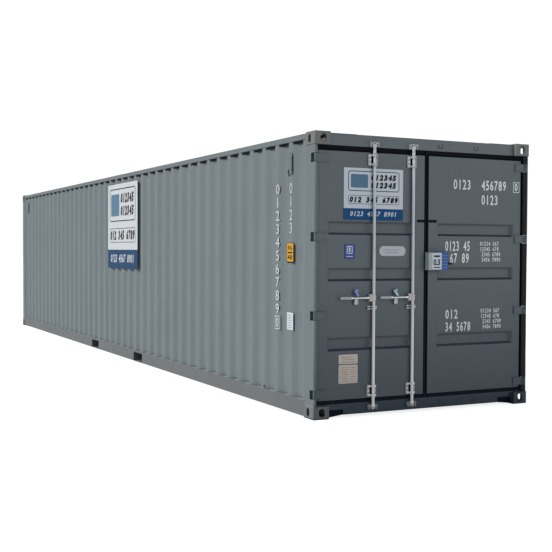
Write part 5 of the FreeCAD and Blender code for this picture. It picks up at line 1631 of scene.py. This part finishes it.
    def side_labels(self) -> None:
        """The white and the yellow label on the side wall."""
        yellow, dark, white, rows = (Shape() for _ in range(4))
        dark.plate(LEFT_SIDE, (-556, -418, 1406, 1592), 0.2, 0.8, 4)
        yellow.plate(LEFT_SIDE, (-548, -424, 1418, 1588), 0.6, 1.8, 3)
        dark.plate(LEFT_SIDE, (-536, -436, 1494, 1508), 1.6, 2.4)
        dark.marks(LEFT_SIDE, "48", -534, 1436, 46, 1.6, 2.4, 50, 0.02)
        dark.marks(LEFT_SIDE, "96", -534, 1522, 46, 1.6, 2.4, 50, 0.02)
        white.plate(LEFT_SIDE, (-546, -421, 779, 940), 0.2, 0.9, 4)
        for index in range(6):
            level = 796 + 23 * index
            rows.plate(LEFT_SIDE, (-532, -440 - 12 * (index % 3), level, level + 8), 0.8, 1.6)
        yellow.finish("yellow_label", "container", self.finishes.yellow_vinyl)
        dark.finish("yellow_label_marks", "container", self.finishes.dark_vinyl)
        white.finish("white_label", "container", self.finishes.white_vinyl)
        rows.finish("white_label_rows", "container", self.finishes.faint_ink)

    def door_stencils(self) -> None:
        """Digits on the right leaf."""
        digits = Shape()
        rows = (("0123", 325, 2119, 95, 54), ("456789", 661, 2119, 95, 52), ("0", 1072, 2124, 74, 46),
                ("0123", 661, 1977, 95, 53), ("0123 45", 234, 1524, 94, 43), ("67 89", 290, 1408, 94, 47),
                ("012", 242, 870, 89, 52), ("34 5678", 242, 748, 89, 44))
        for text, left, base, height, pitch in rows:
            digits.marks(DOORS, text, left, base, height, *self.painted, pitch, 0.02)
        digits.border(DOORS, (1053, 1132, 2107, 2210), 6, *self.painted, 3)
        for top, left in ((1577, 648), (920, 664)):
            for index, text in enumerate(("01234 567", "12345 678", "2345 6789", "3456 7890")):
                digits.marks(DOORS, text, left + 22 * (index > 1), top - 52 * index, 40, *self.painted,
                             26, 0.02)
        digits.finish("door_stencils", "right_door", self.finishes.stencil)

    def side_stencils(self) -> None:
        """Two upright columns of digits on the side wall, beside the door end."""
        digits = Shape()
        for index, character in enumerate("0123456789"):
            digits.marks(LEFT_SIDE, character, -790, 2058 - 127 * index, 96, *self.painted_side, 98)
        digits.border(LEFT_SIDE, (-798, -702, 766, 896), 9, *self.painted_side, 4)
        digits.marks(LEFT_SIDE, "0", -780, 786, 88, *self.painted_side, 76, 0.01)
        for index, character in enumerate("0123"):
            digits.marks(LEFT_SIDE, character, -506, 2054 - 124 * index, 98, *self.painted_side, 76)
        digits.finish("side_stencils", "container", self.finishes.side_stencil)


# ------------------------------------------------------------------ main
def dress_nodes(nodes: dict[str, bpy.types.Object], finishes: Finishes) -> None:
    """Give every node of the frame a material.

    Args:
        nodes: the frame's node objects.
        finishes: the materials.
    """
    dressed = ((finishes.rubber, ("left_seam_strip", "right_seam_strip")),
               (finishes.dark_steel, ("lock_box_bolt", "hinge_pins")),
               (finishes.under, ("cross_members",)),
               (finishes.wall, ("front_wall",)),
               (finishes.header, ("rear_header",)),
               (finishes.sill, ("rear_sill",)),
               (finishes.low_casting, ("bottom_castings",)),
               (finishes.casting, ("top_castings",)),
               (finishes.roof, ("roof_corner_plates", "roof_end_sheets")),
               (finishes.door, ("left_door_frame", "right_door_frame", "left_hinge_blades",
                                "right_hinge_blades")),
               (finishes.top_rail, ("top_rails",)),
               (finishes.post, ("hinge_lugs", "rear_post_left")),
               # The right post carries a painted shade strip at its door end.
               (finishes.post_with_painted_shade, ("rear_post_right",)),
               (finishes.rail, ("bottom_rail_left", "bottom_rail_right", "fork_pocket_decks",
                                "fork_pocket_straps", "fork_pocket_sides")))
    chosen = {name: material for material, names in dressed for name in names}
    for name, piece in nodes.items():
        piece.data.materials.clear()
        piece.data.materials.append(chosen.get(name, finishes.frame))


@dataclass
class Studio:
    """The floor, the lights and the camera."""

    eye: Point = (-5.391, -13.714, 1.522)
    turn: float = 26.44
    tilt: float = -1.506
    lean: float = 0.28
    lens: float = 63.65

    def build(self) -> None:
        """Set up the whole studio."""
        self.floor()
        self.sky()
        self.sun("side_sun", (-0.80, 0.10, 0.80), 2.9, 8.0, (1.0, 0.99, 0.965))
        self.sun("door_fill", (0.60, -0.78, 0.20), 0.62, 50.0, (1.0, 0.985, 0.96))
        self.camera()

    def floor(self) -> None:
        """Lay a plain white floor that keeps only a faint shadow."""
        bpy.ops.mesh.primitive_plane_add(size=400)
        floor = bpy.context.object
        floor.name = "studio_floor"
        material = bpy.data.materials.new("studio_floor")
        material.use_nodes = True
        graph = Graph(material.node_tree)
        shader = material.node_tree.nodes["Principled BSDF"]
        shader.inputs["Base Color"].default_value = (0.55, 0.54, 0.52, 1)
        shader.inputs["Roughness"].default_value = 1.0
        shader.inputs["Emission Color"].default_value = (1.0, 1.0, 1.0, 1)
        seen = graph.node("ShaderNodeLightPath").outputs["Is Camera Ray"]
        graph.feed(shader.inputs["Emission Strength"], graph.maths("MULTIPLY", seen, 0.82))
        floor.data.materials.append(material)

    def sky(self) -> None:
        """A soft sky: bluish above, warmer near the horizon, white where the camera sees it."""
        world = bpy.data.worlds.new("studio_sky")
        bpy.context.scene.world = world
        world.use_nodes = True
        graph = Graph(world.node_tree)
        ground = world.node_tree.nodes["Background"]
        place = graph.node("ShaderNodeTexCoord").outputs["Generated"]
        split = graph.node("ShaderNodeSeparateXYZ")
        graph.feed(split.inputs[0], place)
        height = graph.spread(split.outputs["Z"], -0.1, 0.6)
        colour = graph.blend(height, (1.0, 0.96, 0.90), (0.70, 0.84, 1.0))
        seen = graph.node("ShaderNodeLightPath").outputs["Is Camera Ray"]
        colour = graph.blend(seen, colour, (1.0, 1.0, 1.0))
        graph.feed(ground.inputs["Color"], colour)
        graph.feed(ground.inputs["Strength"], graph.maths("MULTIPLY_ADD", seen, 0.55, 0.50))

    def sun(self, name: str, towards: Point, strength: float, spread: float, colour: Colour) -> None:
        """Add a distant lamp.

        Args:
            name: the lamp's name.
            towards: the direction from the container to the lamp.
            strength: its strength in watts a square metre.
            spread: the angle that it fills, in degrees.
            colour: its colour.
        """
        lamp = bpy.data.lights.new(name, "SUN")
        lamp.energy = strength
        lamp.color = colour
        lamp.angle = math.radians(spread)
        holder = bpy.data.objects.new(name, lamp)
        holder.rotation_mode = "QUATERNION"
        holder.rotation_quaternion = Vector(towards).to_track_quat("Z", "Y")
        bpy.context.scene.collection.objects.link(holder)

    def camera(self) -> None:
        """Stand the camera at the viewing angle."""
        turn, tilt, lean = (math.radians(angle) for angle in (self.turn, self.tilt, self.lean))
        forward = Vector((math.sin(turn) * math.cos(tilt), math.cos(turn) * math.cos(tilt), math.sin(tilt)))
        level = Vector((math.cos(turn), -math.sin(turn), 0))
        above = level.cross(forward)
        right = math.cos(lean) * level + math.sin(lean) * above
        up = -math.sin(lean) * level + math.cos(lean) * above
        data = bpy.data.cameras.new("studio_camera")
        data.lens = self.lens
        data.clip_end = 500
        holder = bpy.data.objects.new("studio_camera", data)
        matrix = Matrix((right, up, -forward)).transposed().to_4x4()
        matrix.translation = Vector(self.eye)
        holder.matrix_world = matrix
        bpy.context.scene.collection.objects.link(holder)
        bpy.context.scene.camera = holder


def main() -> None:
    """Load the frame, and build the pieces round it."""
    logging.basicConfig(level=logging.INFO, format="%(name)s: %(message)s")
    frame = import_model()
    nodes = frame["nodes"]
    finishes = Finishes()
    dress_nodes(nodes, finishes)
    SteelFrame(finishes).build(nodes)
    for side in Side:
        CorrugatedWall(finishes).build(side)
    RoofSkin(finishes).build()
    FloorBoards(finishes).build()
    Ventilators(finishes).build()
    for side in Side:
        DoorLeaf(finishes, side).build()
    LockRod(finishes, "outer", -582.0, finishes.blue_flap).build()
    LockRod(finishes, "inner", -152.0, finishes.pale_blue).build()
    LockBox(finishes).build()
    Signs(finishes).build()
    bpy.context.scene.view_settings.view_transform = "Standard"
    Studio().build()


if __name__ == "__main__":
    main()
